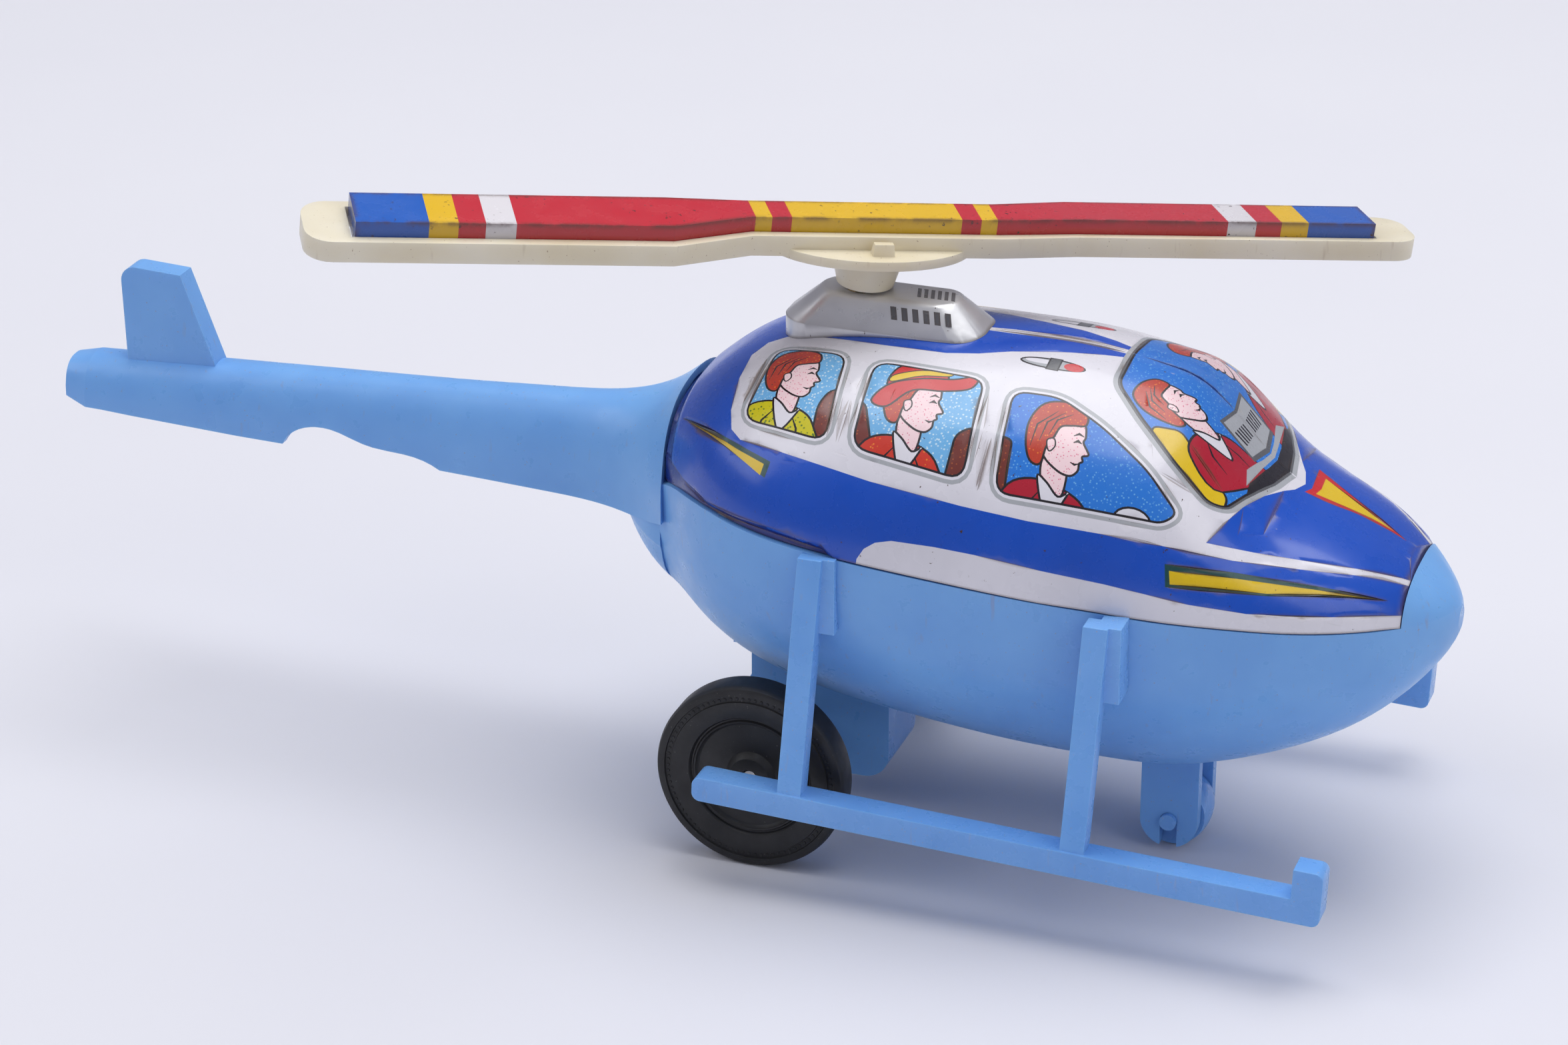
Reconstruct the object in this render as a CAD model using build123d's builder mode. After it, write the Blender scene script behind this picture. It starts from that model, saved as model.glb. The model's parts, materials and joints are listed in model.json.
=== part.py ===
"""Toy helicopter with a friction motor: plastic hull and boom, litho tin cabin, geared rotor.

Millimetres. +X points to the nose, +Y to the helicopter's left, +Z up.
The origin lies on the floor, straight below the middle of the rear axle.
"""
import os
from math import atan2, copysign, cos, degrees, pi, radians, sin, sqrt, tan

from build123d import *

# ------------------------------------------------------------------ driving dimensions
HULL_WALL = 1.5            # plastic moulding
TIN = 0.6                  # litho tin, with its rolled edge
SEAM = 0.15                # gap where two casings meet
FIT = 0.05                 # radial running clearance of every shaft
PRESS = 0.01               # radial clearance of what is pressed on a shaft

# Body stations: x, half width at the waist, keel height, roof height, squareness
BODY = [
    (-21.0, 14.5, 33.8, 65.6, 2.8),
    (-14.0, 21.6, 29.6, 71.2, 2.5),
    (-7.0, 28.0, 26.0, 75.3, 2.3),
    (2.0, 32.0, 22.4, 78.0, 2.15),
    (12.0, 33.5, 20.1, 79.4, 2.1),
    (26.0, 33.4, 18.1, 80.0, 2.1),
    (41.0, 32.5, 16.6, 80.0, 2.1),
    (55.0, 30.4, 16.2, 78.0, 2.15),
    (67.0, 27.9, 18.3, 70.0, 2.3),
    (77.0, 24.6, 21.9, 61.4, 2.4),
    (85.0, 20.4, 26.0, 57.8, 2.6),
    (91.0, 15.9, 30.2, 54.5, 2.8),
    (96.0, 10.9, 34.8, 50.9, 2.6),
    (99.2, 5.9, 38.9, 48.0, 2.3),
    (100.6, 2.0, 42.2, 45.8, 2.0),
]
WAIST_Z = 53.6             # widest line of the body at x = 0
WAIST_FALL = 0.095         # its drop per millimetre towards the nose
RIM_ABOVE_WAIST = 2.2
CABIN_REAR_X = -19.3
CABIN_FRONT_X = 94.0

# Rounded transom that closes the hull under the boom: x, half width, keel height
TRANSOM = [(-20.4, 14.2, 33.5), (-23.1, 12.6, 35.6), (-25.8, 10.2, 38.4), (-28.5, 7.0, 42.0)]
TRANSOM_TOP = 47.0
TRANSOM_SQUARENESS = 2.4

# Tail boom and its flare into the hull: x, half width, lip height, top height, squareness
BOOM = [
    (-126.4, 4.3, 49.4, 55.2, 2.6),
    (-122.5, 5.4, 48.3, 56.1, 2.5),
    (-95.0, 5.7, 47.2, 57.7, 2.4),
    (-60.0, 6.0, 46.5, 59.5, 2.3),
    (-37.0, 6.8, 45.8, 61.0, 2.3),
    (-29.0, 9.0, 45.7, 62.2, 2.4),
    (-22.5, 13.4, 46.5, 64.8, 2.6),
    (-16.0, 19.6, 48.0, 69.4, 2.6),
]
BOOM_WALL = 1.3
BOOM_OPEN = 8.0            # how far the boom's hollow reaches out of its open underside
FIN = [(-116.0, 54.5), (-116.5, 72.3), (-106.0, 71.8), (-99.6, 54.5)]
FIN_T = 4.0
FIN_CORNER_R = 2.5
LIP_BREAK = [(-88.0, 46.0), (-84.5, 50.0), (-79.0, 50.6), (-73.0, 48.9), (-65.5, 48.2), (-59.0, 45.5)]

COWL_X = 11.75             # middle of the roof cowl
COWL_FOOT = (32.0, 13.0)
COWL_TOP = (21.5, 7.5)
COWL_SHOULDER_Z, COWL_TOP_Z = 79.6, 84.2
COWL_SKIRT = 5.0
CUP_HOLE_R = 2.9

REAR_WHEEL_R = 15.0
REAR_WHEEL_W = 5.0
REAR_WHEEL_OUTER_Y = 31.1
AXLE_R = 1.25

FRONT_WHEEL_X = 58.9
FRONT_WHEEL_R = 5.45
FRONT_WHEEL_W = 6.2
FORK_INNER_Y = 3.5
FORK_OUTER_Y = 5.5
FORK_W = 9.0
FORK_H = 13.0
STUB_R = 1.3
STUB_END_Y = 6.3

MODULE = 0.6               # tooth size of the spur gears
CROWN_MODULE = 0.558       # tooth size where the crown teeth meet the rotor's pinion
AXLE_TEETH = 24
IDLER_PINION_TEETH = 10
IDLER_TEETH = 26
FLYWHEEL_TEETH = 8
CROWN_TEETH = 24
ROTOR_PINION_TEETH = 10
CROWN_INNER_R, CROWN_OUTER_R = 6.2, 7.1
CROWN_TOOTH_T = 0.5
CROWN_TIP_Y = 2.75
AXLE_GEAR_Y = (-4.6, -3.0)
IDLER_PINION_Y = (-4.8, -2.8)
IDLER_GEAR_Y = (3.45, 4.75)
FLYWHEEL_PINION_Y = (3.6, 4.8)
IDLER_X = 1.2
THIN_SHAFT_R = 1.0         # idler and flywheel shafts
FLYWHEEL_ANGLE = 50.0      # direction from the idler to the flywheel, from +X towards +Z
FLYWHEEL_R = 8.0
FLYWHEEL_Y = (6.3, 11.3)
ROTOR_TILT = 6.0           # the rotor shaft leans forward
ROTOR_SHAFT_R = 1.25

PLATE_INNER_Y = 5.0
PLATE_T = 0.7
PLATE = [(-5.4, 12.0), (-4.0, 8.4), (10.5, 8.4), (12.9, 10.5), (12.9, 38.0), (-5.5, 38.0)]
PLATE_TAB = (1.0, 4.0)     # middle and length of the tab that goes through the bridge
PILLARS = [(11.4, 22.5), (11.0, 10.2), (-4.0, 34.8)]
PILLAR_R = 1.2
PILLAR_SPIGOT_R = 0.7
BUSH_R = 2.1
UPPER_BUSH_R = 2.4
COLLAR_R = 2.8
BRIDGE_T = 0.8
BRIDGE_X = (-10.2, 12.9)
EAR_X = (-10.2, -3.8)
BOSS_X, BOSS_Y, BOSS_R = -7.0, 10.5, 2.8
SCREW_R = 1.0
SCREW_DEPTH = 7.5
SCREW_HEAD_R = 1.75
SCREW_HEAD_H = 1.3
CROSS_SLOT = (2.3, 0.5)    # recess in a screw's head

COVER_HALF_W = 6.8
COVER_WALL = 0.9
COVER_AXLE_R = 9.6
COVER_FRONT_X = 14.3
COVER_REAR_X = -8.2
COVER_CORNER_R = 4.0
COVER_FLANGE = (4.0, 8.0)  # length behind the cover, and width
COVER_FLANGE_Z = 23.6
COVER_SCREW_X = -10.2

SKID_OUTER_Y = 39.5
SKID_W = 4.4
SKID_H = 3.9
SKID_TOP_Z = 18.1          # at x = 0
SKID_SLOPE = 2.4           # degrees, nose down
SKID_REAR_X = -6.0
SKID_FRONT_X = 90.3
SKID_TOE = 4.5
SKID_TOE_RISE = 4.8
SKID_END_R = 1.3
STRUTS = [(9.1, 10.9), (52.8, 54.3)]   # x of each strut's middle at the bar and at the rim
STRUT_W = 3.7
STRUT_T = 3.3
STRUT_TOP_Y = 35.2         # outer face at the rim
HOOK_H = 12.0
TONGUE = (2.8, 4.0)        # length along the hull, and height
TONGUE_REACH = 6.5         # how far it passes in from the hull's side

ROTOR_AZIMUTH = 31.0       # from +X towards +Y
ARM = 85.2                 # rotor radius
FRAME_H = 3.2
RAIL = 1.6
SPINE_HALF_W = 4.8         # frame's half width at the hub
ARM_FAR_V = 7.5            # the widened edge of each arm
KINK_START_U, KINK_END_U = 19.0, 31.0
BLADE_PITCH = 5.5          # twist of each arm
SLOT_END_U = 78.5
STRIP_END_U = 78.0
STRIP_RISE = 2.3           # strip's top above the frame's top
STRIP_DEPTH = 3.9
STRIP_T = 0.45
CUP_R_LOW, CUP_R_HIGH = 4.35, 5.8
LUG_U, LUG_V, LUG_T = 15.5, 9.3, 1.5
PEG = (0.5, -6.4)          # stump of a broken peg on the lug
CROSS_BARS = (-70, -42, -12, 12, 42, 70)
CROSS_BAR_W = 2.0

# ------------------------------------------------------------------ derived places
AXLE_Z = REAR_WHEEL_R
AXLE_TO_IDLER = MODULE * (AXLE_TEETH + IDLER_PINION_TEETH) / 2
IDLER_Z = AXLE_Z + sqrt(AXLE_TO_IDLER**2 - IDLER_X**2)
BRIDGE_Z = PLATE[-1][1]
STRIP_TOP = FRAME_H + STRIP_RISE
STRIP_FOOT = STRIP_TOP - STRIP_DEPTH
IDLER_DIRECTION = degrees(atan2(IDLER_Z - AXLE_Z, IDLER_X))
IDLER_TO_FLYWHEEL = MODULE * (IDLER_TEETH + FLYWHEEL_TEETH) / 2
FLYWHEEL_X = IDLER_X + IDLER_TO_FLYWHEEL * cos(radians(FLYWHEEL_ANGLE))
FLYWHEEL_Z = IDLER_Z + IDLER_TO_FLYWHEEL * sin(radians(FLYWHEEL_ANGLE))

# Heights along the rotor shaft, measured from the idler's axis
ROTOR_PINION_S = (5.6, 8.6)
LOWER_BUSH_S = (11.9, 15.2)
COLLAR_S = (15.4, 17.4)
UPPER_BUSH_S = (50.8, 58.5)
CUP_S = 60.2
LUG_S = 65.8
FRAME_S = 66.2
SHAFT_S = (4.8, 67.0)


# ------------------------------------------------------------------ planes and outlines
def waist(x):
    return WAIST_Z - WAIST_FALL * x


def side_plane(x, y, z):
    """Plane seen from the right: local x is +X, local y is +Z, and it extrudes towards -Y."""
    return Plane(origin=(x, y, z), x_dir=(1, 0, 0), z_dir=(0, -1, 0))


def cross_plane(x, z):
    """Plane across the body: local x is +Y, local y is +Z, facing +X."""
    return Plane(origin=(x, 0, z), x_dir=(0, 1, 0), z_dir=(1, 0, 0))


def shaft_plane(s, turn=0.0):
    """Plane across the leaning rotor shaft, s above the idler, its x axis turned about the shaft."""
    lean, turn = radians(ROTOR_TILT), radians(turn)
    return Plane(
        origin=(IDLER_X + s * sin(lean), 0, IDLER_Z + s * cos(lean)),
        x_dir=(cos(turn) * cos(lean), sin(turn), -cos(turn) * sin(lean)),
        z_dir=(sin(lean), 0, cos(lean)),
    )


def arch_points(half_width, height, squareness):
    """Half of a superellipse, from +half_width over the top to -half_width."""
    points = []
    for step in range(13):
        angle = pi * step / 12
        across = copysign(abs(cos(angle)) ** (2 / squareness), cos(angle))
        points.append((half_width * across, height * abs(sin(angle)) ** (2 / squareness)))
    return points


def body_solid(inset, last=len(BODY)):
    """The whole closed body, drawn in by inset, up to station last."""
    with BuildPart() as solid:
        for x, half_width, keel, roof, squareness in BODY[:last]:
            with BuildSketch(cross_plane(x, waist(x))):
                with BuildLine():
                    upper = arch_points(half_width - inset, roof - inset - waist(x), squareness)
                    lower = arch_points(half_width - inset, keel + inset - waist(x), squareness)
                    Spline(upper + lower[-2:0:-1], periodic=True)
                make_face()
        loft()
    return solid.part


def transom_solid(stations, inset, top):
    """The rounded end of the hull through stations, drawn in by inset, flat on top."""
    with BuildPart() as solid:
        for x, half_width, keel in stations:
            with BuildSketch(cross_plane(x, top)):
                with BuildLine():
                    arch = arch_points(half_width - inset, keel + inset - top, TRANSOM_SQUARENESS)
                    Spline(arch, tangents=[(0, -1), (0, 1)])
                    Line(arch[-1], arch[0])
                make_face()
        loft()
    return solid.part


def spread(stations, count):
    """The same run of stations, read off again at count evenly spaced places."""
    first, last = stations[0][0], stations[-1][0]
    places = [first + (last - first) * step / (count - 1) for step in range(count)]
    rows = []
    for x in places:
        low, high = next(pair for pair in zip(stations, stations[1:]) if x <= pair[1][0] + 1e-6)
        share = (x - low[0]) / (high[0] - low[0])
        rows.append([a + share * (b - a) for a, b in zip(low, high)])
    return rows


def boom_solid(stations, inset=0.0, drop=0.0):
    """The arched tail boom through stations, drawn in by inset, its open side let down by drop."""
    with BuildPart() as solid:
        for x, half_width, lip, top, squareness in stations:
            with BuildSketch(cross_plane(x, lip - drop)):
                with BuildLine():
                    arch = arch_points(half_width - inset, top - inset - lip + drop, squareness)
                    Spline(arch, tangents=[(0, 1), (0, -1)])
                    Line(arch[-1], arch[0])
                make_face()
        loft(ruled=len(stations) == 2)
    return solid.part


def gear_corners(teeth, phase, module=MODULE):
    """Corners of a spur gear with straight-sided teeth; phase is the direction of one tooth."""
    pitch_r = module * teeth / 2
    root_r, tip_r = pitch_r - module, pitch_r + 0.75 * module
    corners = []
    for index in range(teeth):
        for radius, side in ((root_r, -1), (tip_r, -1), (tip_r, 1), (root_r, 1)):
            half = (0.21 * pi * module - (radius - pitch_r) * tan(radians(22))) / radius
            angle = radians(phase + 360 * index / teeth) + side * half
            corners.append((radius * cos(angle), radius * sin(angle)))
    return corners


def spur_gear(x, z, across, teeth, phase, bore_r):
    """Gear on a shaft along Y, between the two Y values in across."""
    with BuildPart() as gear:
        with BuildSketch(side_plane(x, across[1], z)):
            Polygon(*gear_corners(teeth, phase), align=None)
            Circle(bore_r, mode=Mode.SUBTRACT)
        extrude(amount=across[1] - across[0])
    return gear.part


def shaft_ring(span, outer_r, bore_r):
    """Ring about the rotor shaft, over the two heights in span."""
    with BuildPart() as ring:
        with BuildSketch(shaft_plane(span[0])):
            Circle(outer_r)
            Circle(bore_r, mode=Mode.SUBTRACT)
        extrude(amount=span[1] - span[0])
    return ring.part


def cross_pin(x, z, across, radius):
    """Round bar along Y, between the two Y values in across, with its ends broken."""
    with BuildPart() as pin:
        with BuildSketch(side_plane(x, across[1], z)):
            Circle(radius)
        extrude(amount=across[1] - across[0])
        chamfer(pin.edges().filter_by(GeomType.CIRCLE), 0.25)
    return pin.part


def screw(x, y, head_z, way):
    """Pan-head screw; way is +1 when its shank points up from head_z, -1 when it points down."""
    with BuildPart() as body:
        with BuildSketch(Plane.XY.offset(head_z)):
            with Locations((x, y)):
                Circle(SCREW_HEAD_R)
        extrude(amount=-way * SCREW_HEAD_H)
        rim = body.edges().filter_by(GeomType.CIRCLE).sort_by(Axis.Z)[0 if way > 0 else -1]
        fillet(rim, 0.6)
        with BuildSketch(Plane.XY.offset(head_z)):
            with Locations((x, y)):
                Circle(SCREW_R)
        extrude(amount=way * (SCREW_DEPTH - 0.5))
        with BuildSketch(Plane.XY.offset(head_z - way * (SCREW_HEAD_H + 0.1))):
            with Locations((x, y)):
                Rectangle(*CROSS_SLOT)
                Rectangle(*CROSS_SLOT[::-1])
        extrude(amount=way * 0.8, mode=Mode.SUBTRACT)
    return body.part


def finish(part, name):
    part.label = name
    export_step(part, f"parts/{name}.step")


os.makedirs("parts", exist_ok=True)

# ------------------------------------------------------------------ shared body shapes
body_outer = body_solid(0.0)
body_hollow = body_solid(HULL_WALL, last=len(BODY) - 1)
tin_hollow = body_solid(TIN)
boom_tip = boom_solid(BOOM[:2])
boom_tube = boom_solid(spread(BOOM[1:], 17))
boom_hollow = boom_solid(spread(BOOM[1:], 17), BOOM_WALL, BOOM_OPEN)

# Everything below the rim, seen from the side: the rim falls away to the boom behind the cabin
with BuildPart() as below_rim:
    with BuildSketch(side_plane(0, 45, 0)):
        with BuildLine():
            rim_nose = (CABIN_FRONT_X + 8, waist(CABIN_FRONT_X + 8) + RIM_ABOVE_WAIST)
            rim_shoulder = (-6.0, waist(-6.0) + RIM_ABOVE_WAIST)
            rim_rear = (CABIN_REAR_X - 2, 53.2)
            Line(rim_nose, rim_shoulder)
            Spline(rim_shoulder, rim_rear, tangents=[(-1, WAIST_FALL), (-1, -0.6)])
            Polyline(rim_rear, (rim_rear[0], 0), (rim_nose[0], 0), rim_nose)
        make_face()
    extrude(amount=90)

with BuildPart() as nose_cap:
    add(body_outer)
    split(bisect_by=Plane.YZ.offset(CABIN_FRONT_X + SEAM), keep=Keep.TOP)

with BuildPart() as tail:
    add(boom_tip)
    add(boom_tube)
    split(bisect_by=Plane.YZ.offset(CABIN_REAR_X - SEAM), keep=Keep.BOTTOM)
    with BuildSketch(side_plane(0, FIN_T / 2, 0)) as fin_side:
        with BuildLine():
            Polyline(*FIN, close=True)
        make_face()
        fillet(fin_side.vertices().sort_by(Axis.Z)[-2:], FIN_CORNER_R)
    extrude(amount=FIN_T)
    add(boom_hollow, mode=Mode.SUBTRACT)

# The transom's own hollow runs up into the boom's, and leaves its end closed
with BuildPart() as transom:
    add(transom_solid(TRANSOM, 0.0, TRANSOM_TOP))
    add(transom_solid(TRANSOM[:3], HULL_WALL, TRANSOM_TOP + 1.0), mode=Mode.SUBTRACT)

# ------------------------------------------------------------------ lower hull
boss_places = [(BOSS_X, BOSS_Y), (BOSS_X, -BOSS_Y)]
with BuildPart() as bosses:
    with BuildSketch(Plane.XY.offset(AXLE_Z)):
        with Locations(*boss_places):
            Circle(BOSS_R)
    extrude(amount=BRIDGE_Z - AXLE_Z)
    with BuildSketch(Plane.XY.offset(AXLE_Z)):
        with Locations((COVER_SCREW_X, 0)):
            Circle(BOSS_R)
    extrude(amount=COVER_FLANGE_Z + SCREW_DEPTH + 1.5 - AXLE_Z)
    add(body_outer, mode=Mode.INTERSECT)


def tongues(side, gap):
    """The two tongues that pin one skid to the hull's side, with gap all round."""
    with BuildPart() as pair:
        for foot_x, rim_x in STRUTS:
            z = waist(rim_x) + RIM_ABOVE_WAIST - HOOK_H / 2
            with BuildSketch(side_plane(rim_x + STRUT_W / 2, side * (STRUT_TOP_Y - STRUT_T / 2), z)):
                Rectangle(TONGUE[0] + 2 * gap, TONGUE[1] + 2 * gap)
            extrude(amount=side * (TONGUE_REACH + gap))
    return pair.part


with BuildPart() as lower_hull:
    add(body_outer)
    add(below_rim.part, mode=Mode.INTERSECT)
    add(nose_cap.part)
    add(body_hollow, mode=Mode.SUBTRACT)
    add(transom.part)
    add(tail.part)

    # front wheel fork: two legs, with a slot open downwards for each stub axle
    for start_y in (FORK_OUTER_Y, -FORK_INNER_Y):
        with BuildSketch(side_plane(FRONT_WHEEL_X, start_y, FRONT_WHEEL_R)):
            with Locations((0, FORK_H / 2)):
                Rectangle(FORK_W, FORK_H)
            Circle(FORK_W / 2)
            Circle(STUB_R + FIT, mode=Mode.SUBTRACT)
            with Locations((0, -FORK_W / 2)):
                Rectangle(2 * (STUB_R + FIT), FORK_W, mode=Mode.SUBTRACT)
        extrude(amount=FORK_OUTER_Y - FORK_INNER_Y)

    # opening in the keel for the motor
    with BuildSketch(Plane.XY.offset(AXLE_Z)):
        with Locations(((COVER_FRONT_X + COVER_REAR_X) / 2, 0)):
            Rectangle(COVER_FRONT_X - COVER_REAR_X - 2 * COVER_WALL, 2 * (COVER_HALF_W - COVER_WALL))
    extrude(amount=BRIDGE_Z - AXLE_Z, mode=Mode.SUBTRACT)

    # bosses for the bridge screws and the cover screw, and slots for the skids' tongues
    add(bosses.part)
    with BuildSketch(Plane.XY.offset(BRIDGE_Z)):
        with Locations(*boss_places):
            Circle(SCREW_R + FIT)
    extrude(amount=-SCREW_DEPTH, mode=Mode.SUBTRACT)
    with BuildSketch(Plane.XY.offset(COVER_FLANGE_Z)):
        with Locations((COVER_SCREW_X, 0)):
            Circle(SCREW_R + FIT)
    extrude(amount=SCREW_DEPTH, mode=Mode.SUBTRACT)
    for side in (1, -1):
        add(tongues(side, 0.1), mode=Mode.SUBTRACT)

    # broken-out lip in the right-hand wall of the boom
    with BuildSketch(side_plane(0, -BOOM_WALL, 0)):
        with BuildLine():
            Spline(*LIP_BREAK)
            below = (LIP_BREAK[-1][0], 40), (LIP_BREAK[0][0], 40)
            Polyline(LIP_BREAK[-1], *below, LIP_BREAK[0])
        make_face()
    extrude(amount=12, mode=Mode.SUBTRACT)

# ------------------------------------------------------------------ tin cabin
with BuildPart() as cabin_shell:
    add(body_outer)
    add(tin_hollow, mode=Mode.SUBTRACT)
    add(below_rim.part.moved(Location((0, 0, SEAM))), mode=Mode.SUBTRACT)
    split(bisect_by=Plane.YZ.offset(CABIN_REAR_X), keep=Keep.TOP)
    split(bisect_by=Plane.YZ.offset(CABIN_FRONT_X), keep=Keep.BOTTOM)
    with BuildSketch(shaft_plane(UPPER_BUSH_S[0])):
        Circle(UPPER_BUSH_R + FIT)
    extrude(amount=8, mode=Mode.SUBTRACT)


# ------------------------------------------------------------------ engine cowl on the roof
def cowl_block(inset):
    """Tapered block of the cowl on a straight skirt that reaches into the roof, drawn in by inset."""
    foot, top = [(length - 2 * inset, width - 2 * inset) for length, width in (COWL_FOOT, COWL_TOP)]
    with BuildPart() as block:
        with BuildSketch(Plane.XY.offset(COWL_SHOULDER_Z)):
            with Locations((COWL_X, 0)):
                RectangleRounded(*foot, 5 - inset)
        with BuildSketch(Plane.XY.offset(COWL_TOP_Z - inset)):
            with Locations((COWL_X, 0)):
                RectangleRounded(*top, 3.5 - inset)
        loft()
        with BuildSketch(Plane.XY.offset(COWL_SHOULDER_Z - COWL_SKIRT)):
            with Locations((COWL_X, 0)):
                RectangleRounded(*foot, 5 - inset)
        extrude(amount=COWL_SKIRT)
    return block.part


with BuildPart() as engine_cowl:
    add(cowl_block(0.0))
    fillet(engine_cowl.faces().sort_by(Axis.Z)[-1].edges(), 1.4)
    add(cowl_block(TIN), mode=Mode.SUBTRACT)
    add(body_outer, mode=Mode.SUBTRACT)
    with BuildSketch(shaft_plane(CUP_S - 4)):
        Circle(CUP_HOLE_R)
    extrude(amount=12, mode=Mode.SUBTRACT)

# ------------------------------------------------------------------ landing skids
with BuildPart() as skid_right:
    slope = radians(SKID_SLOPE)
    bar_side = Plane(
        origin=(0, SKID_W - SKID_OUTER_Y, SKID_TOP_Z),
        x_dir=(cos(slope), 0, -sin(slope)),
        z_dir=(0, -1, 0),
    )
    with BuildSketch(bar_side) as bar_outline:
        with Locations(((SKID_REAR_X + SKID_FRONT_X) / 2, -SKID_H / 2)):
            Rectangle(SKID_FRONT_X - SKID_REAR_X, SKID_H)
        with Locations((SKID_FRONT_X - SKID_TOE / 2, SKID_TOE_RISE / 2)):
            Rectangle(SKID_TOE, SKID_TOE_RISE)
        corners = bar_outline.vertices().sort_by(Axis.X)
        fillet(corners[:2] + corners[-2:], SKID_END_R)
    extrude(amount=SKID_W)
    for foot_x, rim_x in STRUTS:
        rim_z = waist(rim_x) + RIM_ABOVE_WAIST
        with BuildSketch(Plane.XY.offset(SKID_TOP_Z - foot_x * tan(slope) - 1)):
            with Locations((foot_x, STRUT_T / 2 + 0.3 - SKID_OUTER_Y)):
                Rectangle(STRUT_W, STRUT_T)
        with BuildSketch(Plane.XY.offset(rim_z)):
            with Locations((rim_x, STRUT_T / 2 - STRUT_TOP_Y)):
                Rectangle(STRUT_W, STRUT_T)
        loft()
        # hook plate that closes the space between the strut and the hull's side
        with BuildSketch(Plane.XY.offset(rim_z - HOOK_H)):
            with Locations((rim_x + STRUT_W / 2, STRUT_T - STRUT_TOP_Y + 1)):
                Rectangle(STRUT_W, STRUT_T + 4)
        extrude(amount=HOOK_H)
    add(body_outer, mode=Mode.SUBTRACT)
    add(body_hollow, mode=Mode.SUBTRACT)
    add(tongues(-1, 0.0))

with BuildPart() as skid_left:
    mirror(skid_right.part, about=Plane.XZ)


# ------------------------------------------------------------------ motor cover under the hull
def cover_block(inset):
    """Body of the motor cover, round below the axle and square in front, drawn in by inset."""
    floor = AXLE_Z - COVER_AXLE_R + inset
    front, rear, top = COVER_FRONT_X - inset, COVER_REAR_X + inset, AXLE_Z + 14 + inset
    with BuildPart() as block:
        with BuildSketch(side_plane(0, COVER_HALF_W - inset, 0)) as outline:
            with BuildLine():
                Polyline((0, floor), (front, floor), (front, top), (rear, top), (rear, AXLE_Z), (0, floor))
            make_face()
            fillet(outline.vertices().sort_by(Axis((0, 0, 0), (1, -1, 0)))[-1], COVER_CORNER_R - inset)
            with Locations((0, AXLE_Z)):
                Circle(COVER_AXLE_R - inset)
        extrude(amount=2 * (COVER_HALF_W - inset))
    return block.part


with BuildPart() as motor_cover:
    add(cover_block(0.0))
    with BuildSketch(Plane.XY.offset(COVER_FLANGE_Z)):
        with Locations((COVER_REAR_X - COVER_FLANGE[0] / 2 + 0.5, 0)):
            Rectangle(COVER_FLANGE[0] + 1, COVER_FLANGE[1])
    extrude(amount=6)
    add(cover_block(COVER_WALL), mode=Mode.SUBTRACT)
    add(body_outer, mode=Mode.SUBTRACT)
    with BuildSketch(side_plane(0, COVER_HALF_W + 1, AXLE_Z)):
        Circle(BUSH_R + 0.1)
    extrude(amount=2 * COVER_HALF_W + 2, mode=Mode.SUBTRACT)
    with BuildSketch(Plane.XY.offset(COVER_FLANGE_Z - 1)):
        with Locations((COVER_SCREW_X, 0)):
            Circle(SCREW_R + FIT)
    extrude(amount=8, mode=Mode.SUBTRACT)


# ------------------------------------------------------------------ motor frame
def motor_plate(start_y):
    """Side plate of the motor, from start_y towards -Y, with its bearing and pillar holes."""
    tab_x, tab_length = PLATE_TAB
    with BuildPart() as plate:
        with BuildSketch(side_plane(0, start_y, 0)):
            with BuildLine():
                Polyline(*PLATE, close=True)
            make_face()
            with Locations((tab_x, BRIDGE_Z)):
                Rectangle(tab_length, 2 * BRIDGE_T)
            with Locations((0, AXLE_Z)):
                Circle(BUSH_R + PRESS, mode=Mode.SUBTRACT)
            with Locations((IDLER_X, IDLER_Z), (FLYWHEEL_X, FLYWHEEL_Z)):
                Circle(THIN_SHAFT_R + FIT, mode=Mode.SUBTRACT)
            with Locations(*PILLARS):
                Circle(PILLAR_SPIGOT_R + PRESS, mode=Mode.SUBTRACT)
        extrude(amount=PLATE_T)
    return plate.part


motor_plate_right = motor_plate(-PLATE_INNER_Y)
motor_plate_left = motor_plate(PLATE_INNER_Y + PLATE_T)

with BuildPart() as plate_pillars:
    for radius, half_length in ((PILLAR_R, PLATE_INNER_Y), (PILLAR_SPIGOT_R, PLATE_INNER_Y + PLATE_T)):
        with BuildSketch(side_plane(0, half_length, 0)):
            with Locations(*PILLARS):
                Circle(radius)
        extrude(amount=2 * half_length)

with BuildPart() as motor_bridge:
    with BuildSketch(Plane.XY.offset(BRIDGE_Z)):
        with Locations(((BRIDGE_X[0] + BRIDGE_X[1]) / 2, 0)):
            Rectangle(BRIDGE_X[1] - BRIDGE_X[0], 2 * (PLATE_INNER_Y + PLATE_T))
        with Locations(((EAR_X[0] + EAR_X[1]) / 2, 0)):
            RectangleRounded(EAR_X[1] - EAR_X[0], 2 * (BOSS_Y + BOSS_R), 2)
        with Locations(*boss_places):
            Circle(SCREW_R + FIT, mode=Mode.SUBTRACT)
        with GridLocations(0, 2 * PLATE_INNER_Y + PLATE_T, 1, 2):
            with Locations((PLATE_TAB[0], 0)):
                Rectangle(PLATE_TAB[1] + 0.1, PLATE_T + 0.1, mode=Mode.SUBTRACT)
    extrude(amount=BRIDGE_T)
    with BuildSketch(shaft_plane(LOWER_BUSH_S[0] - 1)):
        Circle(BUSH_R + PRESS)
    extrude(amount=5, mode=Mode.SUBTRACT)

with BuildPart() as bridge_screws:
    for x, y in boss_places:
        add(screw(x, y, BRIDGE_Z + BRIDGE_T, -1))

cover_screw = screw(COVER_SCREW_X, 0, COVER_FLANGE_Z, 1)

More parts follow.
